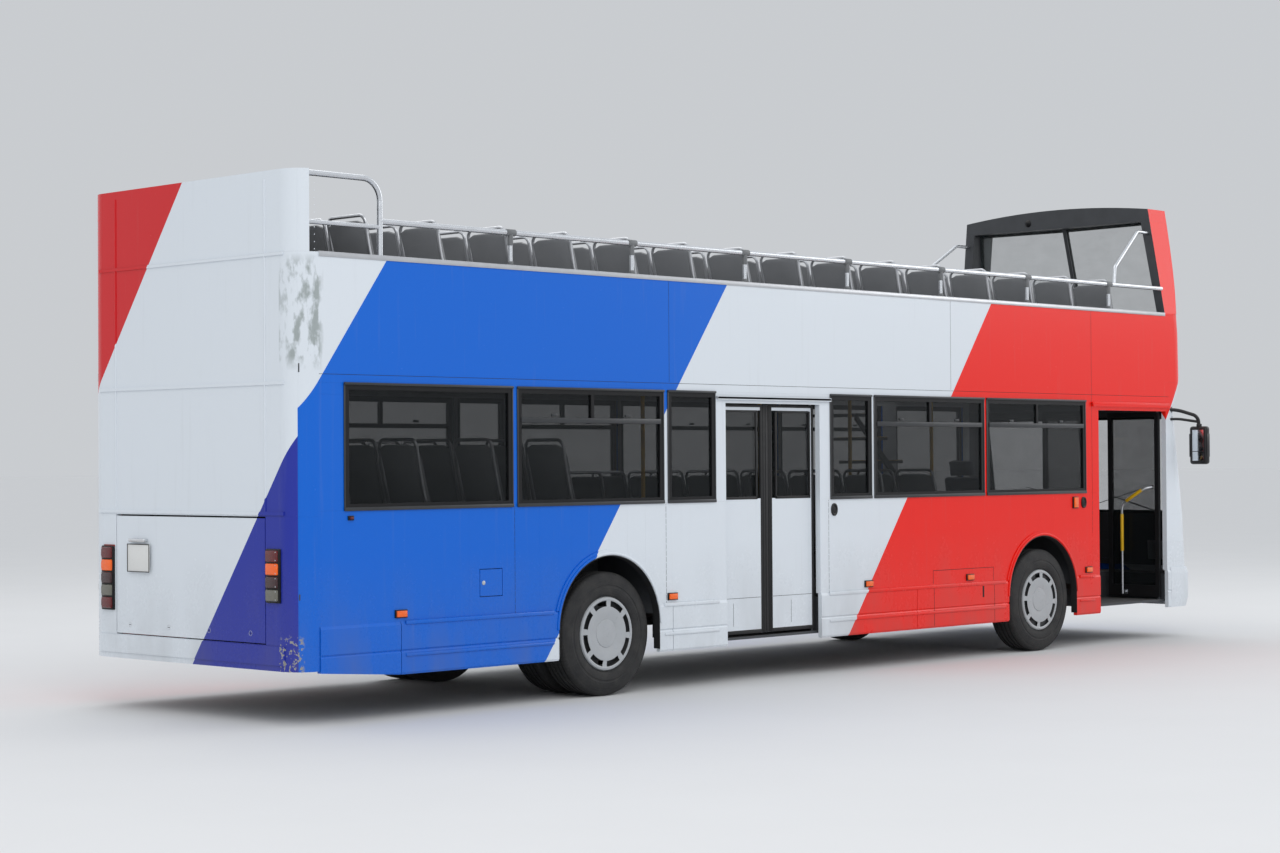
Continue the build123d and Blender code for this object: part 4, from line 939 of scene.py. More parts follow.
def wheel_cover(name, station, face, s):
    """face is the cover's outermost Y."""
    inwards = -s
    outline = [
        (0.006, 0.000),
        (0.0065, 0.060),
        (0.008, 0.103),
        (0.013, 0.107),
        (0.0115, 0.113),
        (0.006, 0.150),
        (0.001, 0.190),
        (0.002, 0.208),
        (0.006, 0.236),
        (0.004, 0.252),
        (0.000, 0.262),
        (0.003, 0.276),
        (0.016, 0.282),
        (0.030, 0.282),
    ]
    profile = [(inwards * depth, radius) for depth, radius in outline]
    cover = turned(name, profile, (st(station), s * face, AXLE_Z), steps=64, smooth=30.0)
    centre = Vector((st(station), s * face, AXLE_Z))

    def in_slot(polygon):
        away = polygon.center - centre
        step = int((math.atan2(away.z, away.x) + math.pi) / (2 * math.pi) * 64) % 8
        return 0.208 < math.hypot(away.x, away.z) < 0.252 and step < 6

    choose_faces(cover, in_slot)
    bpy.ops.mesh.delete(type="FACE")
    bpy.ops.object.mode_set(mode="OBJECT")
    wall = cover.modifiers.new("sheet", "SOLIDIFY")
    wall.thickness, wall.offset = 0.0025, -1.0
    rounded(cover, 0.0008, 1, 50.0)
    return cover


COVER_PAINT = plastic("cover_silver", (0.40, 0.415, 0.43), 0.30, 900.0, 0.0001, 0.12, dust=0.2)
for side, s in (("right", -1), ("left", 1)):
    for end, station, body in (("front", FRONT_AXLE, "front_wheel"), ("rear", REAR_AXLE, "rear_wheels")):
        cover = wheel_cover(f"{end}_wheel_cover_{side}", station, 1.221, s)
        done(cover, COVER_PAINT, f"{body}_{side}")
print("wheel covers made")

# %% [markdown]
# ## Arch trims
# The lip over each wheel is pressed out of the side and edged by a rubber strip. A half ring is
# drawn as an arc, given width sideways, thickness and a soft edge.

# %% Rubber edges round the arches
ARCH_Z, ARCH_R = 0.530, 0.545


def arch_edge(s, station):
    points = [
        (st(station) + (ARCH_R - 0.004) * math.cos(a), s * 1.198, ARCH_Z + (ARCH_R - 0.004) * math.sin(a))
        for a in (math.pi * k / 32 for k in range(33))
    ]
    points = [(points[0][0], points[0][1], 0.33)] + points + [(points[-1][0], points[-1][1], 0.33)]
    return ribbon("edge", points, (0, s * 0.066, 0), 0.006, 0.002, 1)


edges = [arch_edge(s, station) for s in (-1, 1) for station in (REAR_AXLE, FRONT_AXLE)]
done(join("arch_edges", edges), RUBBER, "body")
print("arch edges made")

# %% [markdown]
# The pressed lip has a rolled bead, and two ledges run along the skirts between the wheels. The bead
# is the same half ring as the rubber, set further out. Painted with the body's finish, both carry on
# the films, and their soft edges give the side its long lines of light.

# %% Rolled beads of the arches and the two ledges pressed along the skirts
RIGHT_RUNS = [(0.95, 2.40), (3.60, 4.24), (5.62, 8.15), (9.35, 9.60)]
LEFT_RUNS = [(0.95, 2.40), (3.60, 8.15), (9.35, 10.95)]


def arch_bead(s, station):
    radius, turns = ARCH_R + 0.013, [math.pi * k / 32 for k in range(33)]
    points = [(st(station) + radius * math.cos(a), s * 1.252, ARCH_Z + radius * math.sin(a)) for a in turns]
    return ribbon("bead", points, (0, s * 0.017, 0), 0.020, 0.006)


pressed = [arch_bead(s, station) for s in (-1, 1) for station in (REAR_AXLE, FRONT_AXLE)]
for s, runs in ((-1, RIGHT_RUNS), (1, LEFT_RUNS)):
    for first, last in runs:
        for low, high in ((0.652, 0.682), (0.428, 0.452)):
            pressed.append(slab("ledge", (st(first), s * 1.252, low), (st(last), s * 1.269, high), 0.007))
done(join("pressed_beads", pressed), PAINT, "body")
print("beads and ledges made")

# %% [markdown]
# ## Seats
# A coach seat is a thin moulded shell on a bent tube. The shell starts as the seat's side profile,
# drawn as a line and swept across in five strips; the middle strips are pushed back so it holds the
# body, the top is drawn in, and the sheet gets its thickness and a rolled edge. The tube is bent in
# a hoop over the back, as a handle for whoever stands behind.

# %% One moulded shell with its tube hoop
SEAT_W, SEAT_PITCH_Y = 0.43, 0.225
SEAT_PROFILE = [
    (0.428, 0.392),
    (0.434, 0.420),
    (0.410, 0.438),
    (0.300, 0.436),
    (0.160, 0.425),
    (0.060, 0.428),
    (0.012, 0.455),
    (-0.010, 0.530),
    (-0.042, 0.660),
    (-0.076, 0.790),
    (-0.108, 0.910),
    (-0.130, 0.985),
    (-0.143, 1.018),
]


def seat_shell():
    piece = ribbon_line("shell", [(x, -SEAT_W / 2, z) for x, z in SEAT_PROFILE])
    choose(piece, lambda c: True)
    for _ in range(6):
        bpy.ops.mesh.extrude_region_move(TRANSFORM_OT_translate={"value": (0, SEAT_W / 6, 0)})
    bpy.ops.mesh.select_all(action="SELECT")
    bpy.ops.mesh.normals_make_consistent(inside=False)
    bpy.ops.object.mode_set(mode="OBJECT")
    for reach, push in ((0.15, 0.008), (0.08, 0.010)):
        nudge(piece, lambda c: abs(c.y) < reach and c.z > 0.50, (-push, 0, 0))
        nudge(piece, lambda c: abs(c.y) < reach and c.z < 0.45 and 0.03 < c.x < 0.40, (0, 0, -push))
    for height, share in ((0.95, 0.965), (1.0, 0.93)):
        choose(piece, lambda c: c.z > height)
        bpy.ops.transform.resize(value=(1, share, 1), center_override=(0, 0, 1.0))
        bpy.ops.object.mode_set(mode="OBJECT")
    nudge(piece, lambda c: c.z > 1.01 and abs(c.y) > 0.16, (0.004, 0, -0.022))
    sheet = piece.modifiers.new("sheet", "SOLIDIFY")
    sheet.thickness, sheet.offset = 0.022, 0.0
    return rounded(piece, 0.006, 2, 50.0)


def seat_hoop():
    """The tube: up one side of the back, over the top and down the other side."""
    half = 0.203
    side = [(0.395, 0.372), (0.020, 0.372), (-0.020, 0.470), (-0.106, 0.845), (-0.146, 1.056)]
    near = [(x, -half, z) for x, z in side]
    far = [(x, half, z) for x, z in reversed(side)]
    return bent_rod("hoop", near + far, 0.013, 0.062, 2)


def seat_legs(wall):
    """Two cross tubes and the aisle leg with its head, foot and bolts."""
    pieces = []
    aisle = -wall
    for x in (0.085, 0.330):
        pieces.append(
            slab("cross", (x - 0.02, wall * 0.475, 0.322), (x + 0.02, aisle * 0.435, 0.362), 0.004)
        )
    pieces.append(rod("leg", (0.205, aisle * 0.250, 0.012), (0.205, aisle * 0.250, 0.330), 0.026, 20, 0.002))
    pieces.append(slab("foot", (0.135, aisle * 0.180, 0.0), (0.275, aisle * 0.320, 0.012), 0.004))
    pieces.append(slab("head", (0.060, aisle * 0.222, 0.300), (0.355, aisle * 0.278, 0.324), 0.004))
    for x in (0.160, 0.250):
        for y in (0.205, 0.295):
            pieces.append(rod("bolt", (x, aisle * y, 0.010), (x, aisle * y, 0.020), 0.010, 6, 0.001))
    return join("legs", pieces)


SEAT_TUBE = steel("seat_tube", (0.66, 0.67, 0.69), 0.34)
SEAT_BACK = Finish("seat_back_grey")
shade = SEAT_BACK.mix(SEAT_BACK.noise(3.5, 5.0), (0.175, 0.180, 0.188), (0.245, 0.250, 0.260))
dusty = (SEAT_BACK.nz.clamp() * SEAT_BACK.noise(30.0, 4.0) * 0.45).clamp()
scratches = ((SEAT_BACK.noise(55.0, 5.0, (1.0, 0.12, 1.6)) - 0.63) * 6.0).clamp() * 0.22
SEAT_BACK.feed("Base Color", SEAT_BACK.mix((dusty + scratches).clamp(), shade, (0.34, 0.335, 0.32)))
SEAT_BACK.feed("Roughness", SEAT_BACK.noise(45.0, 3.0) * 0.2 + 0.42)
SEAT_BACK.bump(SEAT_BACK.noise(1500.0, 2.0), 0.0002)
SEAT_BACK = SEAT_BACK.material

PAIR_Y = 0.720
ROWS = [0.830 + 0.668 * k for k in range(15)]
UPPER_PLACES = [(st(back), s * PAIR_Y) for s in (-1, 1) for back in ROWS if s < 0 or not 7.70 < back < 9.86]


def seat_pair(wall):
    """Two seats side by side on their legs; wall is the side of the bus it stands on."""
    shell, hoop = with_material(seat_shell(), SEAT_BACK), with_material(seat_hoop(), SEAT_TUBE)
    sides = [(0, -SEAT_PITCH_Y, 0), (0, SEAT_PITCH_Y, 0)]
    legs = with_material(seat_legs(wall), CHASSIS)
    return join("pair", copies(shell, sides) + copies(hoop, sides) + [legs])


for side, s in (("right", -1), ("left", 1)):
    places = [(x, y, DECK_TOP) for x, y in UPPER_PLACES if y * s > 0]
    row = join(f"upper_seats_{side}", copies(seat_pair(s), places))
    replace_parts(done(row, None, "body"), "upper_seats")
    print(row.name, len(places), "pairs,", len(row.data.polygons), "faces")

# %% [markdown]
# ## Padded seats
# The lower saloon's seats have pads. A pad starts as a flat box, is remeshed to an even net and
# inflated by a cloth simulation, so its crown and pulled-in sides come from the cloth itself. It is
# simulated once; a sewn line is pressed in afterwards and the pad copied to each seat.

# %% Inflate one pad


def inflate(piece, pressure, frames, limit):
    """Swell a closed mesh like a stuffed pad; no point moves further than the limit."""
    scene = bpy.context.scene
    before = [v.co.copy() for v in piece.data.vertices]
    cloth = piece.modifiers.new("cloth", "CLOTH")
    settings = cloth.settings
    settings.quality = 5
    settings.mass = 0.3
    settings.tension_stiffness = settings.compression_stiffness = 18.0
    settings.bending_stiffness = 1.5
    settings.use_pressure = True
    settings.uniform_pressure_force = pressure
    settings.effector_weights.gravity = 0.0
    cloth.collision_settings.use_collision = False
    cloth.point_cache.frame_start, cloth.point_cache.frame_end = 1, frames
    for frame_number in range(1, frames + 1):
        scene.frame_set(frame_number)
    apply_modifiers(piece)
    scene.frame_set(1)
    for vertex, start in zip(piece.data.vertices, before):
        move = vertex.co - start
        if move.length > limit:
            vertex.co = start + move * (limit / move.length)
    return piece


def pad(name, size, pressure=3.0):
    """A pad lying flat, centred on the origin, of these (length, width, height)."""
    piece = slab(name, [-c / 2 for c in size], [c / 2 for c in size], 0.016, 3)
    remesh = piece.modifiers.new("net", "REMESH")
    remesh.mode, remesh.voxel_size = "VOXEL", 0.016
    apply_modifiers(piece)
    inflate(piece, pressure, 14, 0.014)
    nudge(piece, lambda c: abs(abs(c.y) - size[1] * 0.30) < 0.010 and c.z > 0, (0, 0, -0.006))
    smooth = piece.modifiers.new("soft", "SMOOTH")
    smooth.factor, smooth.iterations = 0.5, 2
    apply_modifiers(piece)
    bpy.ops.object.shade_smooth()
    return piece


def moquette(name):
    """A dark woven seat cover: fine ribs with flecks of blue and grey in the pile."""
    f = Finish(name)
    flecks = f.noise(160.0, 2.0)
    base = f.mix(f.noise(14.0, 4.0), (0.014, 0.017, 0.030), (0.026, 0.030, 0.048))
    base = f.mix(((flecks - 0.60) * 8.0).clamp() * 0.7, base, (0.03, 0.09, 0.26))
    base = f.mix(((flecks - 0.42) * -9.0).clamp() * 0.6, base, (0.13, 0.13, 0.14))
    f.feed("Base Color", base)
    f.feed("Roughness", f.noise(300.0, 2.0) * 0.15 + 0.78)
    ribs = (f.y * 2600.0).math("SINE") * 0.5 + (f.x * 2600.0).math("SINE") * 0.3
    f.bump(ribs + f.noise(700.0, 2.0), 0.0004, 0.9)
    f.constant(Sheen_Weight=0.3)
    return f.material


MOQUETTE = moquette("seat_moquette")
LOWER_ROWS = [(s, back, REAR_PLATFORM) for s in (-1, 1) for back in (0.560, 1.290, 2.020, 2.750)]
LOWER_ROWS += [(-1, back, SALOON_FLOOR) for back in (5.850, 6.600, 7.350)]
LOWER_ROWS += [(1, back, SALOON_FLOOR) for back in (3.860, 4.610, 5.360, 6.110, 6.860)]


def seat_pads():
    """The pads of one seat in place on the shell: one on the pan, one on the back."""
    pan = pad("pan", (0.370, 0.385, 0.040))
    back = twin_of(pan)
    pan.data.transform(Matrix.Translation((0.235, 0, 0.462)))
    back.data.transform(Matrix.Scale(1.30, 4, (1, 0, 0)))
    tilted(back, (-0.026, 0, 0.735), -104.5, "Y")
    return join("pads", [with_material(pan, MOQUETTE), with_material(back, MOQUETTE)])


pads = join("pads", copies(seat_pads(), [(0, -SEAT_PITCH_Y, 0), (0, SEAT_PITCH_Y, 0)]))
cushions = join(
    "lower_seat_pads", copies(pads, [(st(back), s * PAIR_Y, floor) for s, back, floor in LOWER_ROWS])
)
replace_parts(done(cushions, None, "body"), "lower_seats")
for side, s in (("right", -1), ("left", 1)):
    places = [(st(back), t * PAIR_Y, floor) for t, back, floor in LOWER_ROWS if t == s]
    row = join(f"lower_seats_{side}", copies(seat_pair(s), places))
    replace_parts(done(row, None, "body"), "lower_seats")
    print(row.name, len(places), "pairs; pads have", len(cushions.data.polygons), "faces")

# %% [markdown]
# ## Lamps and markers
# The tail lamps are stacks of square moulded lenses in a black case. Each lens is its own block with
# a soft edge, and its finish carries the fine prisms that scatter light. Side markers are small
# amber blocks on the shoulder of the skirt, in line with the panel joints.

# %% Lens finishes


def lens(name, colour, glow=0.0, rough=0.12):
    f = Finish(name)
    f.feed("Base Color", f.mix(f.noise(30.0, 3.0), tuple(c * 0.75 for c in colour), colour))
    f.feed("Roughness", f.noise(80.0, 2.0) * 0.08 + rough)
    prisms = (f.y * 900.0 + f.x * 900.0).math("SINE") * 0.5 + (f.z * 900.0).math("SINE") * 0.5
    f.bump(prisms, 0.0008, 0.7)
    f.constant(Coat_Weight=0.3, Coat_Roughness=0.03, IOR=1.45)
    if glow:
        f.constant(Emission_Color=(*colour, 1.0), Emission_Strength=glow)
    return f.material


RED_LENS = lens("lens_red", (0.13, 0.004, 0.006))
AMBER_LENS = lens("lens_amber", (0.92, 0.13, 0.004), 0.12)
BROWN_LENS = lens("lens_brown", (0.045, 0.010, 0.012))
CLEAR_LENS = lens("lens_clear", (0.16, 0.155, 0.125))
HEAD_LENS = lens("lens_head", (0.55, 0.57, 0.58), 0.0, 0.06)
CHROME = steel("lamp_chrome", (0.78, 0.79, 0.80), 0.12)

# %% Tail lamp stacks


def lamp_stack(s, low, high, lenses):
    """A black case on the tail with lenses from the top down."""
    y0, y1 = s * 0.912, s * 1.062
    case = slab("case", (st(-0.010), y0, low - 0.006), (st(0.026), y1, high + 0.006), 0.006)
    pieces = [with_material(case, BLACK)]
    step = (high - low) / len(lenses)
    for k, material in enumerate(lenses):
        top = high - step * k
        corner = (st(-0.024), y0 + s * 0.010, top - step + 0.006)
        cell = slab("lens", corner, (st(0.0), y1 - s * 0.010, top - 0.004), 0.010, 3)
        pieces.append(with_material(cell, material))
        for z in (top - 0.016, top - step + 0.018):
            y = y1 - s * 0.022
            screw = rod("screw", (st(-0.026), y, z), (st(-0.02), y, z), 0.0045, 10, 0.001)
            pieces.append(with_material(screw, ALUMINIUM))
    return join("stack", pieces)


stacks = [
    lamp_stack(-1, 0.843, 1.201, (RED_LENS, AMBER_LENS, BROWN_LENS, CLEAR_LENS)),
    lamp_stack(1, 0.727, 1.187, (RED_LENS, AMBER_LENS, BROWN_LENS, CLEAR_LENS, RED_LENS)),
]
tail_lamps = join("tail_lamps", stacks)
done(tail_lamps, None, "body")
print("tail lamps", len(tail_lamps.data.polygons), "faces")

# %% [markdown]
# Each head lamp is a chrome plate with two spun bowls and a small globe in each. A bowl is drawn as
# a half section and turned, because a turned mirror has the even curve that a lamp needs.

# %% Head lamps behind their covers
# The bowl's half section: distance forward and radius
BOWL = [(0.0, 0.016), (0.004, 0.034), (0.014, 0.048), (0.030, 0.054), (0.034, 0.056), (0.034, 0.059)]
BOWL.append((0.0, 0.060))


def head_lamp(s):
    """Two round units and an indicator on a chrome plate, set in the mask's opening."""
    x = st(11.36)
    plate = with_material(slab("plate", (x, s * 0.765, 0.765), (x + 0.012, s * 1.050, 0.945), 0.003), CHROME)
    pieces = [plate]
    for y in (0.835, 0.945):
        bowl = turned("bowl", BOWL, (0, 0, 0), steps=32)
        globe = rod("globe", (0, 0.004, 0), (0, 0.020, 0), 0.018, 20, 0.006)
        unit = join("unit", [with_material(bowl, CHROME), with_material(globe, HEAD_LENS)])
        pieces.append(tilted(unit, (x + 0.012, s * y, 0.855), -90, "Z"))
    amber = slab("turn", (x + 0.012, s * 1.008, 0.775), (x + 0.030, s * 1.045, 0.935), 0.006)
    pieces.append(with_material(amber, AMBER_LENS))
    return join("head", pieces)


done(join("head_lamp_units", [head_lamp(-1), head_lamp(1)]), None, "body")

# %% [markdown]
# Markers and reflectors are all one small block on a dark base, in three sizes. The button beside
# each door is a spun ring, stretched upwards to an oval.

# %% Side markers, repeaters, reflectors and door buttons
MARKERS = [0.912, 3.699, 6.154, 7.609, 9.510]
BUTTON = [(0.0, 0.040), (-0.012, 0.039), (-0.016, 0.033), (-0.010, 0.026), (-0.004, 0.024), (-0.006, 0.020)]
BUTTON.append((-0.009, 0.0))


def side_marker(s, station, z, material, size=(0.112, 0.058)):
    x, w, h = st(station), size[0] / 2, size[1] / 2
    rim = slab("rim", (x - w, s * 1.249, z - h), (x + w, s * 1.262, z + h), 0.003)
    w, h = w - 0.010, h - 0.007
    face = slab("face", (x - w, s * 1.256, z - h), (x + w, s * 1.272, z + h), 0.004)
    return join("marker", [with_material(rim, BLACK), with_material(face, material)])


def door_button(station, z):
    """An oval emergency button in a raised ring beside the door."""
    ring = turned("ring", BUTTON, (0, 0, 0), steps=40)
    ring.data.transform(Matrix.Translation((st(station), -1.249, z)) @ Matrix.Scale(1.35, 4, (0, 0, 1)))
    return with_material(ring, RUBBER)


small = [side_marker(s, station, 0.730, AMBER_LENS) for s in (-1, 1) for station in MARKERS]
small += [side_marker(s, 0.463, 1.411, RED_LENS, (0.050, 0.032)) for s in (-1, 1)]
small += [side_marker(s, 9.292, 1.374, AMBER_LENS, (0.085, 0.110)) for s in (-1, 1)]
small += [door_button(5.698, 1.373), door_button(9.434, 1.372)]
markers = join("side_markers", small)
done(markers, None, "body")
print("markers", len(markers.data.polygons), "faces")

# %% [markdown]
# ## Tail details
# A blank plate with a lamp bar over it, catches on the engine hatch and a lock on the fuel flap.
# The plate stays empty: a part for everyone carries no one's number.

# %% Plate, lamp bar and hatch catches
PLATE = plastic("plate_white", (0.72, 0.72, 0.70), 0.3, 1800.0, 0.0001, 0.05)


def number_plate(x, y, z, width, height, out):
    """A blank pressed plate with a raised rim; out is -1 at the tail and 1 at the front."""
    w, h, rim = width / 2, height / 2, 0.006
    body = slab("plate", (x, y - w, z - h), (x + out * 0.006, y + w, z + h), 0.002)
    rims = []
    for (y0, z0), (y1, z1) in (
        ((-w, -h), (w, -h + rim)),
        ((-w, h - rim), (w, h)),
        ((-w, -h), (-w + rim, h)),
        ((w - rim, -h), (w, h)),
    ):
        rims.append(slab("rim", (x + out * 0.004, y + y0, z + z0), (x + out * 0.009, y + y1, z + z1), 0.0015))
    return join("plate", [with_material(body, PLATE), with_material(join("rim", rims), BLACK)])


plate = number_plate(st(-0.006), 0.588, 1.110, 0.275, 0.205, -1)
bar = slab("bar", (st(-0.030), 0.490, 1.228), (st(0.006), 0.690, 1.250), 0.006, 3)
done(join("tail_plate", [plate, with_material(bar, CHROME)]), None, "engine_hatch")


def quarter_turn_catch(y, z):
    section = [(0.0, 0.020), (-0.003, 0.020), (-0.005, 0.017), (-0.002, 0.014), (-0.002, 0.0)]
    ring = turned("ring", section, (0, 0, 0), steps=24)
    slot = slab("slot", (-0.011, -0.006, -0.002), (0.011, -0.0015, 0.002), 0.0008)
    catch = join("catch", [with_material(ring, ALUMINIUM), with_material(slot, BLACK)])
    return tilted(catch, (st(0.012), y, z), -90, "Z")


catches = join("hatch_catches", [quarter_turn_catch(y, 0.62) for y in (-0.72, -0.24, 0.24, 0.72)])
done(catches, None, "engine_hatch")
lock_section = [(0.0, 0.016), (-0.003, 0.016), (-0.005, 0.012), (-0.003, 0.0)]
flap_lock = turned("flap_lock", lock_section, (st(1.700), -1.2495, 0.915), steps=24)
done(flap_lock, ALUMINIUM, "fuel_flap")
print("tail details made")

# %% [markdown]
# ## Doors
# Each leaf is a white panel with a black framed pane. Where two leaves meet they carry soft rubber
# fingers, and another strip seals the hinge side. These ride on their leaf, so they swing with it.

# %% Leaf trims of the middle door
LEAF_FACE = -1.1862     # Y of the closed leaves' outer faces


def leaf_trims(rear):
    """Trims of one middle leaf, closed; rear is True for the leaf nearer the tail."""
    face, z0, z1 = LEAF_FACE, 0.382, 2.246
    hinge, meet = (st(4.347), st(4.927)) if rear else (st(5.508), st(4.927))
    lean = 1 if rear else -1
    rubbers = []
    inner = st(4.832) if rear else st(4.975)
    rubbers.append(slab("finger", (inner, face - 0.003, z0), (meet - lean * 0.002, face + 0.020, z1), 0.004))
    for share in (0.33, 0.66):
        x = inner + (meet - inner) * share
        rubbers.append(slab("ridge", (x - 0.002, face - 0.006, z0), (x + 0.002, face, z1), 0.0015))
    edge = st(4.362) if rear else st(5.478)
    rubbers.append(slab("seal", (hinge, face - 0.004, z0), (edge, face + 0.02, z1), 0.003))
    a, b = sorted((edge, inner))
    rubbers.append(slab("sweep", (a, face - 0.004, z0), (b, face + 0.01, z0 + 0.030), 0.003))
    rubbers.append(slab("head", (a, face - 0.004, 2.226), (b, face + 0.01, z1), 0.003))
    low, high = 1.474, 2.196
    c, d = a + 0.006, b - 0.040 if rear else b - 0.012
    if not rear:
        c = a + 0.044
    for p, q in (
        ((c, low), (d, low + 0.022)),
        ((c, high - 0.012), (d, high)),
        ((c, low), (c + 0.018, high)),
        ((d - 0.018, low), (d, high)),
    ):
        rubbers.append(slab("gasket", (p[0], face - 0.004, p[1]), (q[0], face + 0.01, q[1]), 0.003))
    post = st(4.49) if rear else st(5.21)
    # Dark lines of painted shadow where the leaf's panels meet
    seam = [
        slab("line", (a + 0.004, face - 0.0006, 0.672), (b - 0.004, face, 0.675), 0),
        slab("line", (post - 0.0015, face - 0.0006, 0.448), (post + 0.0015, face, 0.634), 0),
    ]
    return join("rubbers", rubbers), join("seam", seam)


for end, rear in (("rear", True), ("front", False)):
    rubbers, seam = leaf_trims(rear)
    rubbers.name = f"mid_door_{end}_rubbers"
    done(rubbers, RUBBER, f"mid_door_{end}")
    seam.name = f"mid_door_{end}_seams"
    done(seam, SEAM_SHADOW, f"mid_door_{end}")


def door_ledge(low, high, z):
    rail = slab("ledge", (st(low), -1.248, z - 0.004), (st(high), -1.272, z + 0.012), 0.004)
    lip = slab("lip", (st(low), -1.264, z - 0.016), (st(high), -1.272, z + 0.002), 0.002)
    return join("ledge", [rail, lip])


ledges = join("door_ledges", [door_ledge(4.225, 5.650, 2.296), door_ledge(9.580, 10.950, 2.322)])
done(ledges, PAINT, "body")
print("door trims made")

# %% [markdown]
# The front door's leaves stand open, square to the side. On the face that looks into the doorway
# each has a bent tube with two yellow grips: a line with rounded corners that becomes a tube.

# %% Grab poles of the front door's open leaves


def open_leaf_trims(rear):
    """Trims of a front leaf standing square to the side, on the face that looks into the doorway."""
    hinge = st(9.704) + 0.030 if rear else st(10.905) - 0.030
    lean = 1 if rear else -1
    x = hinge + lean * 0.018
    foot, hand = (x + lean * 0.060, -0.800, 0.430), (x + lean * 0.060, -0.800, 1.330)
    pole = bent_rod("pole", [(x, -1.110, 1.500), (x + lean * 0.060, -1.060, 1.490), hand, foot], 0.0125, 0.05)
    grips = [
        rod("grip", (x + lean * 0.060, -1.030, 1.472), (x + lean * 0.060, -0.850, 1.362), 0.0165, 20, 0.003),
        rod("grip", (foot[0], foot[1], 0.860), (foot[0], foot[1], 1.230), 0.0165, 20, 0.003),
    ]
    x0, x1 = x - 0.002, x + lean * 0.001 + 0.002
    feet = [
        slab("foot", (x0, y - 0.022, z - 0.022), (x1, y + 0.022, z + 0.022), 0.002)
        for y, z in ((-1.110, 1.500), (-0.800, 0.450))
    ]
    stay = rod("stay", (x, -0.800, 0.450), (x + lean * 0.060, -0.800, 0.450), 0.0125, 20, 0.002)
    yellow = [with_material(grip, YELLOW) for grip in grips]
    return join("pole", [with_material(p, TUBE) for p in (pole, stay, *feet)] + yellow)


for end, rear in (("rear", True), ("front", False)):
    pole = open_leaf_trims(rear)
    pole.name = f"front_door_{end}_pole"
    done(pole, None, f"front_door_{end}")
print("door poles made")

# %% [markdown]
# ## Mirrors
# Two bent arms reach forward from the corner and carry a deep black housing. The housing is a block
# with a broad soft edge; its rear face is inset and pushed in, and the glass sits in that recess.

# %% Arms, housings and mirror glass
MIRROR_GLASS = steel("mirror_glass", (0.80, 0.83, 0.86), 0.11)
HOUSING = plastic("mirror_black", (0.014, 0.014, 0.015), 0.32, 700.0, 0.0002, dust=0.25)


def mirror(s):
    x, y = st(11.225), s * 1.435
    foot_y, foot_x = s * 1.236, st(10.990)
    elbow = (foot_x + 0.06, s * 1.300)
    upper = [(foot_x, foot_y, 2.272), (*elbow, 2.268), (x - 0.02, y, 2.205), (x, y, 2.085)]
    lower = [(foot_x, foot_y, 2.176), (*elbow, 2.180), (x - 0.01, y, 2.150)]
    arms = [bent_rod("arm", upper, 0.018, 0.05), bent_rod("arm", lower, 0.014, 0.04)]
    for z in (2.272, 2.176):
        low, high = (foot_x - 0.045, s * 1.222, z - 0.035), (foot_x + 0.045, s * 1.248, z + 0.035)
        arms.append(slab("base", low, high, 0.008))
    arms.append(rod("collar", (x, y, 2.085), (x, y, 2.130), 0.027, 20, 0.004))
    head = slab("head", (x - 0.030, y - 0.100, 1.725), (x + 0.045, y + 0.100, 2.105), 0.028, 4)
    choose_faces(head, lambda polygon: polygon.normal.x < -0.99)
    bpy.ops.mesh.inset(thickness=0.007)
    bpy.ops.mesh.extrude_region_move(TRANSFORM_OT_translate={"value": (0.006, 0, 0)})
    bpy.ops.object.mode_set(mode="OBJECT")
    for side_y in (y - 0.101, y + 0.1):
        arms.append(slab("rib", (x - 0.022, side_y, 1.80), (x + 0.030, side_y + 0.001, 2.03), 0.0004))
    glass = slab("glass", (x - 0.0275, y - 0.074, 1.752), (x - 0.0235, y + 0.074, 2.078), 0.0015)
    split = slab("split", (x - 0.0285, y - 0.074, 1.850), (x - 0.0235, y + 0.074, 1.856), 0.001)
    made = [with_material(p, HOUSING) for p in (*arms, head, split)] + [with_material(glass, MIRROR_GLASS)]
    return join("mirror", made)


right = mirror(-1)
both = join("outside_mirrors", [right, mirrored(right)])
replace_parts(done(both, None, "body"), "mirrors")
print("mirrors", len(both.data.polygons), "faces")

# %% [markdown]
# ## Front
# The side the photograph doesn't show follows what such a bus has: a wide screen with two wipers, a
# black band over it for the blank route sign, a slatted grille and a blank plate. Pieces on
# the bowed face are placed with the same rows of sections as the CAD, so that they follow it.

# %% Where the bowed front is at a height and a distance from the middle
# Height and station of the front's middle line
FRONT_ROWS = [
    (0.304, 11.440),
    (0.400, 11.480),
    (0.640, 11.480),
    (0.700, 11.430),
    (1.180, 11.400),
    (2.284, 11.235),
    (2.545, 11.350),
    (3.040, 11.338),
    (3.233, 11.315),
]
BOW_R = 10.0


def front_x(y, z):
    """X of the front's outer face."""
    for (z0, f0), (z1, f1) in zip(FRONT_ROWS, FRONT_ROWS[1:]):
        if z0 <= z <= z1:
            nose = f0 + (f1 - f0) * (z - z0) / (z1 - z0)
            break
    return st(nose) - (BOW_R - math.sqrt(BOW_R**2 - y * y))


def bowed_bar(name, y0, y1, z, height, proud=0.012, depth=0.020, edge=0.003, steps=14):
    """A bar across the front that follows the bow at one height."""
    points = []
    for k in range(steps + 1):
        y = y0 + (y1 - y0) * k / steps
        points.append((front_x(y, z) + proud - depth / 2, y, z - height / 2))
    lean = front_x(0, z + height / 2) - front_x(0, z - height / 2)
    return ribbon(name, points, (lean, 0, height), depth, edge)


def upright_bar(name, y, z0, z1, width, proud=0.012, depth=0.020, edge=0.003, steps=8):
    points = []
    for k in range(steps + 1):
        z = z0 + (z1 - z0) * k / steps
        points.append((front_x(y, z) + proud - depth / 2, y - width / 2, z))
    return ribbon(name, points, (0, width, 0), depth, edge)


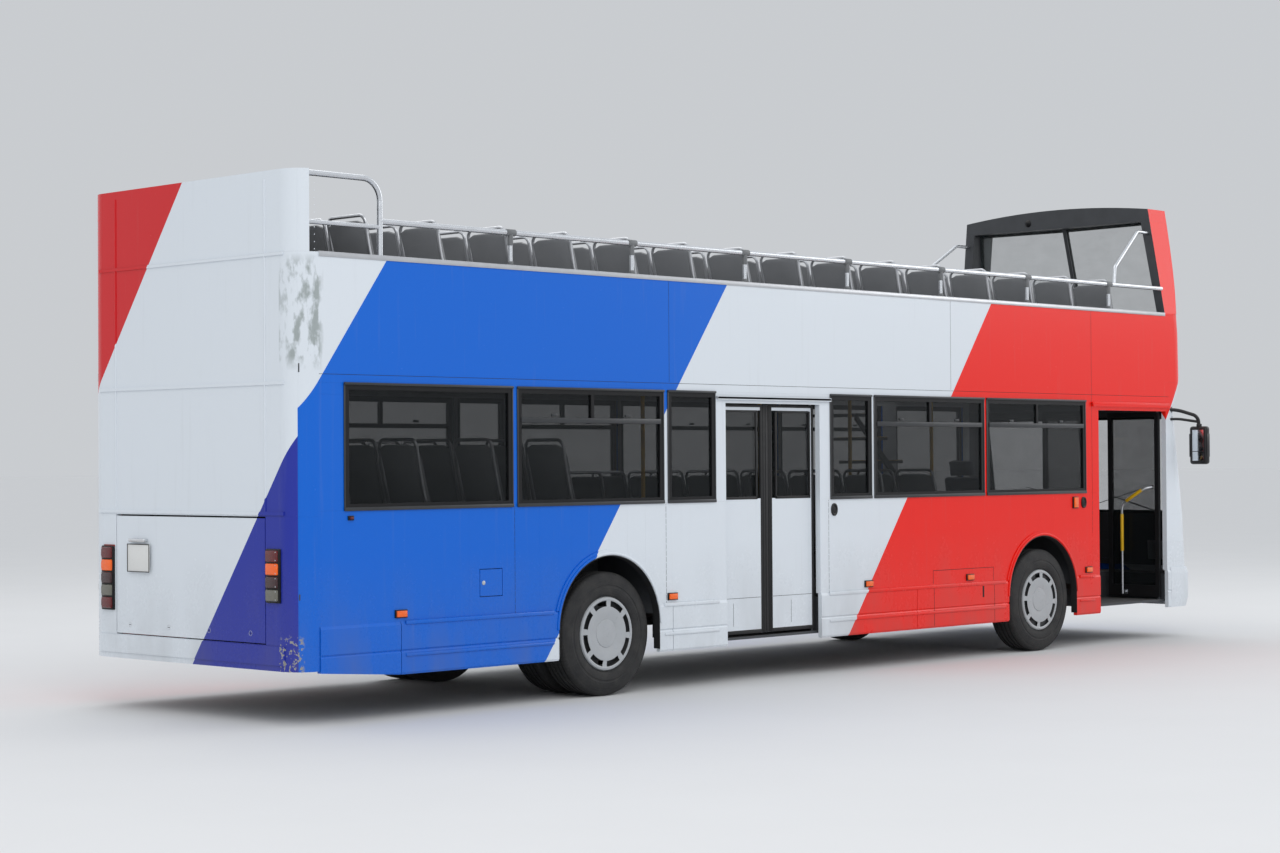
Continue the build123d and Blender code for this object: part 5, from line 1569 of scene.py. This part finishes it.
# %% Screen rubber, sign band, grille, wipers and plate
rubber = [bowed_bar("rubber", -1.145, 1.145, z, 0.045, 0.004, 0.020) for z in (1.236, 2.206)]
rubber += [upright_bar("rubber", y, 1.22, 2.22, 0.045, 0.004, 0.020) for y in (-1.128, 1.128)]
rubber.append(upright_bar("divider", 0.0, 1.24, 2.20, 0.030, 0.002, 0.018))
done(join("screen_rubber", rubber), RUBBER, "body")
grille = [bowed_bar("slat", -0.62, 0.62, 0.760 + 0.034 * k, 0.018, 0.010, 0.022, 0.004) for k in range(7)]
grille += [upright_bar("end", y, 0.745, 0.985, 0.024, 0.012, 0.022) for y in (-0.63, 0.63)]
done(join("front_grille", grille), BLACK, "body")
band = bowed_bar("route_sign", -0.80, 0.80, 2.405, 0.16, 0.003, 0.010)
done(band, BLACK, "body")


def wiper(s):
    pivot = Vector((front_x(s * 0.95, 1.19) + 0.012, s * 0.95, 1.19))
    tip = Vector((front_x(s * 0.30, 1.40) + 0.030, s * 0.30, 1.40))
    arm = bent_rod("arm", [pivot, pivot + Vector((0.030, 0, 0.02)), tip], 0.007, 0.012, 2)
    spindle = rod("spindle", pivot - Vector((0.01, 0, 0)), pivot + Vector((0.035, 0, 0)), 0.016, 16, 0.003)
    blade = []
    for k in range(9):
        y = s * (0.05 + 0.085 * k)
        z = 1.300 + 0.0235 * k
        blade.append((front_x(y, z) + 0.010, y, z))
    strip = ribbon("blade", blade, (0.014, 0, 0.004), 0.006, 0.001)
    return join("wiper", [arm, spindle, strip])


done(join("wipers", [wiper(-1), wiper(1)]), BLACK, "body")
plate = number_plate(st(11.480), 0.0, 0.520, 0.520, 0.112, 1)
plate.name = "front_plate"
done(plate, None, "body")
print("front pieces made")

# %% [markdown]
# ## Front hoop
# The hoop over the upper screen is red outside and lined in charcoal. Rubber strips hold the two
# panes and the header carries a small round camera.

# %% Rubber and camera
HOOP_FOOT_IN, HOOP_HEAD_IN = 1.160, 1.020


def screen_point(share, y_share):
    """A point of the upper screen: share is up from the deck edge, y_share out from the middle."""
    z = SIDE_TOP + (4.160 - SIDE_TOP) * share
    half = HOOP_FOOT_IN + (HOOP_HEAD_IN - HOOP_FOOT_IN) * share
    foot = (11.290, 11.190)
    head = (11.019, 10.950)
    mid = foot[0] + (head[0] - foot[0]) * share
    edge = foot[1] + (head[1] - foot[1]) * share
    return Vector((st(mid + (edge - mid) * abs(y_share)), half * y_share, z))


strips = []
for s in (-1, 1):
    post = [screen_point(k / 8, s * 0.985) for k in range(9)]
    strips.append(ribbon("strip", post, (0.020, 0, 0.004), 0.030, 0.004))
    mid_strip = [screen_point(k / 8, s * 0.015) for k in range(9)]
    strips.append(ribbon("strip", mid_strip, (0.024, 0, 0.006), 0.020, 0.003))
for share in (0.012, 0.985):
    run = [screen_point(share, k / 10) for k in range(-10, 11)]
    strips.append(ribbon("strip", run, (0.020, 0, 0.005), 0.030, 0.004))
done(join("upper_screen_rubber", strips), RUBBER, "body")
dome = turned(
    "dome",
    [(0.0, 0.042), (-0.010, 0.042), (-0.014, 0.036), (-0.026, 0.030), (-0.036, 0.018), (-0.040, 0.0)],
    (0, 0, 0),
    steps=32,
)
tilted(dome, (st(10.848), 0.33, 4.238), -90, "Z")
dome.name = "camera_dome"
done(dome, BLACK, "body")
print("hoop trims made")

# %% [markdown]
# ## Driver's place
# Behind the windscreen: a padded seat on its pedestal, a wheel on a raked column and a dash with a
# hooded instrument box. The pads are the saloon's, sized up.

# %% Driver's seat, wheel and dash


def driver_seat():
    pan = pad("pan", (0.46, 0.46, 0.10), 4.0)
    back, rest = twin_of(pan), twin_of(pan)
    pan.data.transform(Matrix.Translation((st(10.475), 0.70, 1.030)))
    back.data.transform(Matrix.Scale(1.28, 4, (1, 0, 0)))
    tilted(back, (st(10.225), 0.70, 1.330), -101, "Y")
    rest.data.transform(Matrix.Diagonal((0.34, 0.60, 0.9, 1.0)))
    tilted(rest, (st(10.150), 0.70, 1.700), -101, "Y")
    return join("driver_seat_pads", [with_material(p, MOQUETTE) for p in (pan, back, rest)])


seat = driver_seat()
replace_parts(done(seat, None, "body"), "driver_place")

base = [
    slab("plinth", (st(10.36), 0.56, SALOON_FLOOR), (st(10.60), 0.84, 0.700), 0.012),
    slab("bellows", (st(10.38), 0.58, 0.700), (st(10.58), 0.82, 0.930), 0.030, 3),
    slab("tray", (st(10.27), 0.49, 0.930), (st(10.69), 0.91, 0.985), 0.012),
]
dash = [
    slab("body", (st(10.900), 0.150, SALOON_FLOOR), (st(11.170), 1.130, 1.060), 0.030, 3),
    slab("top", (st(10.870), 0.140, 1.050), (st(11.180), 1.140, 1.110), 0.020, 3),
    slab("hood", (st(10.840), 0.500, 1.090), (st(11.060), 0.900, 1.230), 0.035, 4),
]
wheel = turned(
    "wheel",
    [(0.014 * math.cos(a), 0.225 + 0.014 * math.sin(a)) for a in (2 * math.pi * k / 10 for k in range(11))],
    (0, 0, 0),
    steps=48,
)
hub = turned("hub", [(0.0, 0.075), (0.020, 0.072), (0.032, 0.050), (0.036, 0.0)], (0, 0, 0), steps=32)
ends = [(0.22 * math.cos(a), 0.0, 0.22 * math.sin(a)) for a in (0.5, 2.64, -1.57)]
spokes = [rod("spoke", (0, 0.006, 0), end, 0.012, 12) for end in ends]
wheel = join("wheel", [wheel, hub, *spokes])
wheel.data.transform(
    Matrix.Translation((st(10.800), 0.700, 1.235))
    @ Matrix.Rotation(math.radians(28), 4, "Y")
    @ Matrix.Rotation(math.radians(90), 4, "X")
)
column = rod("column", (st(10.925), 0.700, 0.960), (st(10.808), 0.700, 1.225), 0.035, 20, 0.004)
place = join("driver_desk", [*base, *dash, wheel, column])
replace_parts(done(place, LINING, "body"), "driver_place")
print("driver's place made")

# %% [markdown]
# ## Decks and steps
# Anti-slip covering lies in strips along the upper deck with thin joints, and every step edge has a
# yellow nosing. They are thin, but without them a deck looks like bare cardboard.

# %% Aisle strips and yellow nosings
strips = []
for station in (0.40 + 1.5 * k for k in range(7)):
    high = (st(station + 1.49), 0.235, DECK_TOP + 0.003)
    strips.append(slab("strip", (st(station), -0.235, DECK_TOP), high, 0.001))
done(join("aisle_covering", strips), FLOOR, "body")
noses = [
    slab("nose", (st(3.640), -1.18, 0.878), (st(3.656), 1.18, 0.904), 0.003),
    slab("nose", (st(4.31), -0.506, 0.640), (st(5.545), -0.478, 0.643), 0.001),
]
STAIR_X0, STAIR_X1, STEPS = 8.180, 9.660, 8
rise, going = (DECK_TOP - SALOON_FLOOR) / STEPS, (STAIR_X1 - STAIR_X0 + 0.200) / (STEPS - 1)
for k in range(STEPS - 1):
    top = SALOON_FLOOR + rise * (k + 1)
    x = st(STAIR_X1 + 0.260) - going * k
    noses.append(slab("nose", (x - 0.030, 0.556, top - 0.012), (x + 0.013, 1.155, top + 0.004), 0.002))
done(join("step_nosings", noses), YELLOW, "body")
print("decks made")

# %% [markdown]
# ## Studio
# A pale floor that runs out of sight, a soft sky from the world and three large area lamps.
# The lamps are broad, so the gloss on the side shows long calm reflections as under a cloudy sky.

# %% Floor, world and lamps


def studio():
    bpy.ops.object.select_all(action="DESELECT")
    bpy.ops.mesh.primitive_plane_add(size=900.0, location=(0, 0, -0.002))
    floor = bpy.context.object
    floor.name = "studio_floor"
    f = Finish("studio_floor")
    tone = f.mix(f.noise(0.8, 4.0), (0.69, 0.69, 0.69), (0.72, 0.72, 0.72))
    f.feed("Base Color", tone)
    f.constant(Roughness=0.9)
    floor.data.materials.append(f.material)
    world = bpy.data.worlds.new("soft_sky")
    bpy.context.scene.world = world
    world.use_nodes = True
    tree = world.node_tree
    light = tree.nodes["Background"]
    light.inputs["Color"].default_value = (0.90, 0.93, 0.97, 1.0)
    light.inputs["Strength"].default_value = 0.88
    # Seen directly, the sky has the tone of the far floor, so that no horizon shows
    seen = tree.nodes.new("ShaderNodeBackground")
    seen.inputs["Color"].default_value = (0.585, 0.605, 0.63, 1.0)
    path = tree.nodes.new("ShaderNodeLightPath")
    pick = tree.nodes.new("ShaderNodeMixShader")
    tree.links.new(path.outputs["Is Camera Ray"], pick.inputs[0])
    tree.links.new(light.outputs[0], pick.inputs[1])
    tree.links.new(seen.outputs[0], pick.inputs[2])
    tree.links.new(pick.outputs[0], tree.nodes["World Output"].inputs[0])
    for name, place, aim, size, power in (
        ("key", (-14.0, -16.0, 14.0), (0, 0, 1.6), 12.0, 1100.0),
        ("front", (16.0, -9.0, 9.0), (3, 0, 2.0), 10.0, 500.0),
        ("top", (0.0, 6.0, 16.0), (0, 0, 2.5), 14.0, 600.0),
    ):
        data = bpy.data.lights.new(name, "AREA")
        data.shape, data.size, data.energy = "SQUARE", size, power
        lamp = bpy.data.objects.new(name, data)
        bpy.context.scene.collection.objects.link(lamp)
        lamp.location = place
        lamp.rotation_euler = (Vector(aim) - Vector(place)).to_track_quat("-Z", "Y").to_euler()


studio()
print("studio ready")
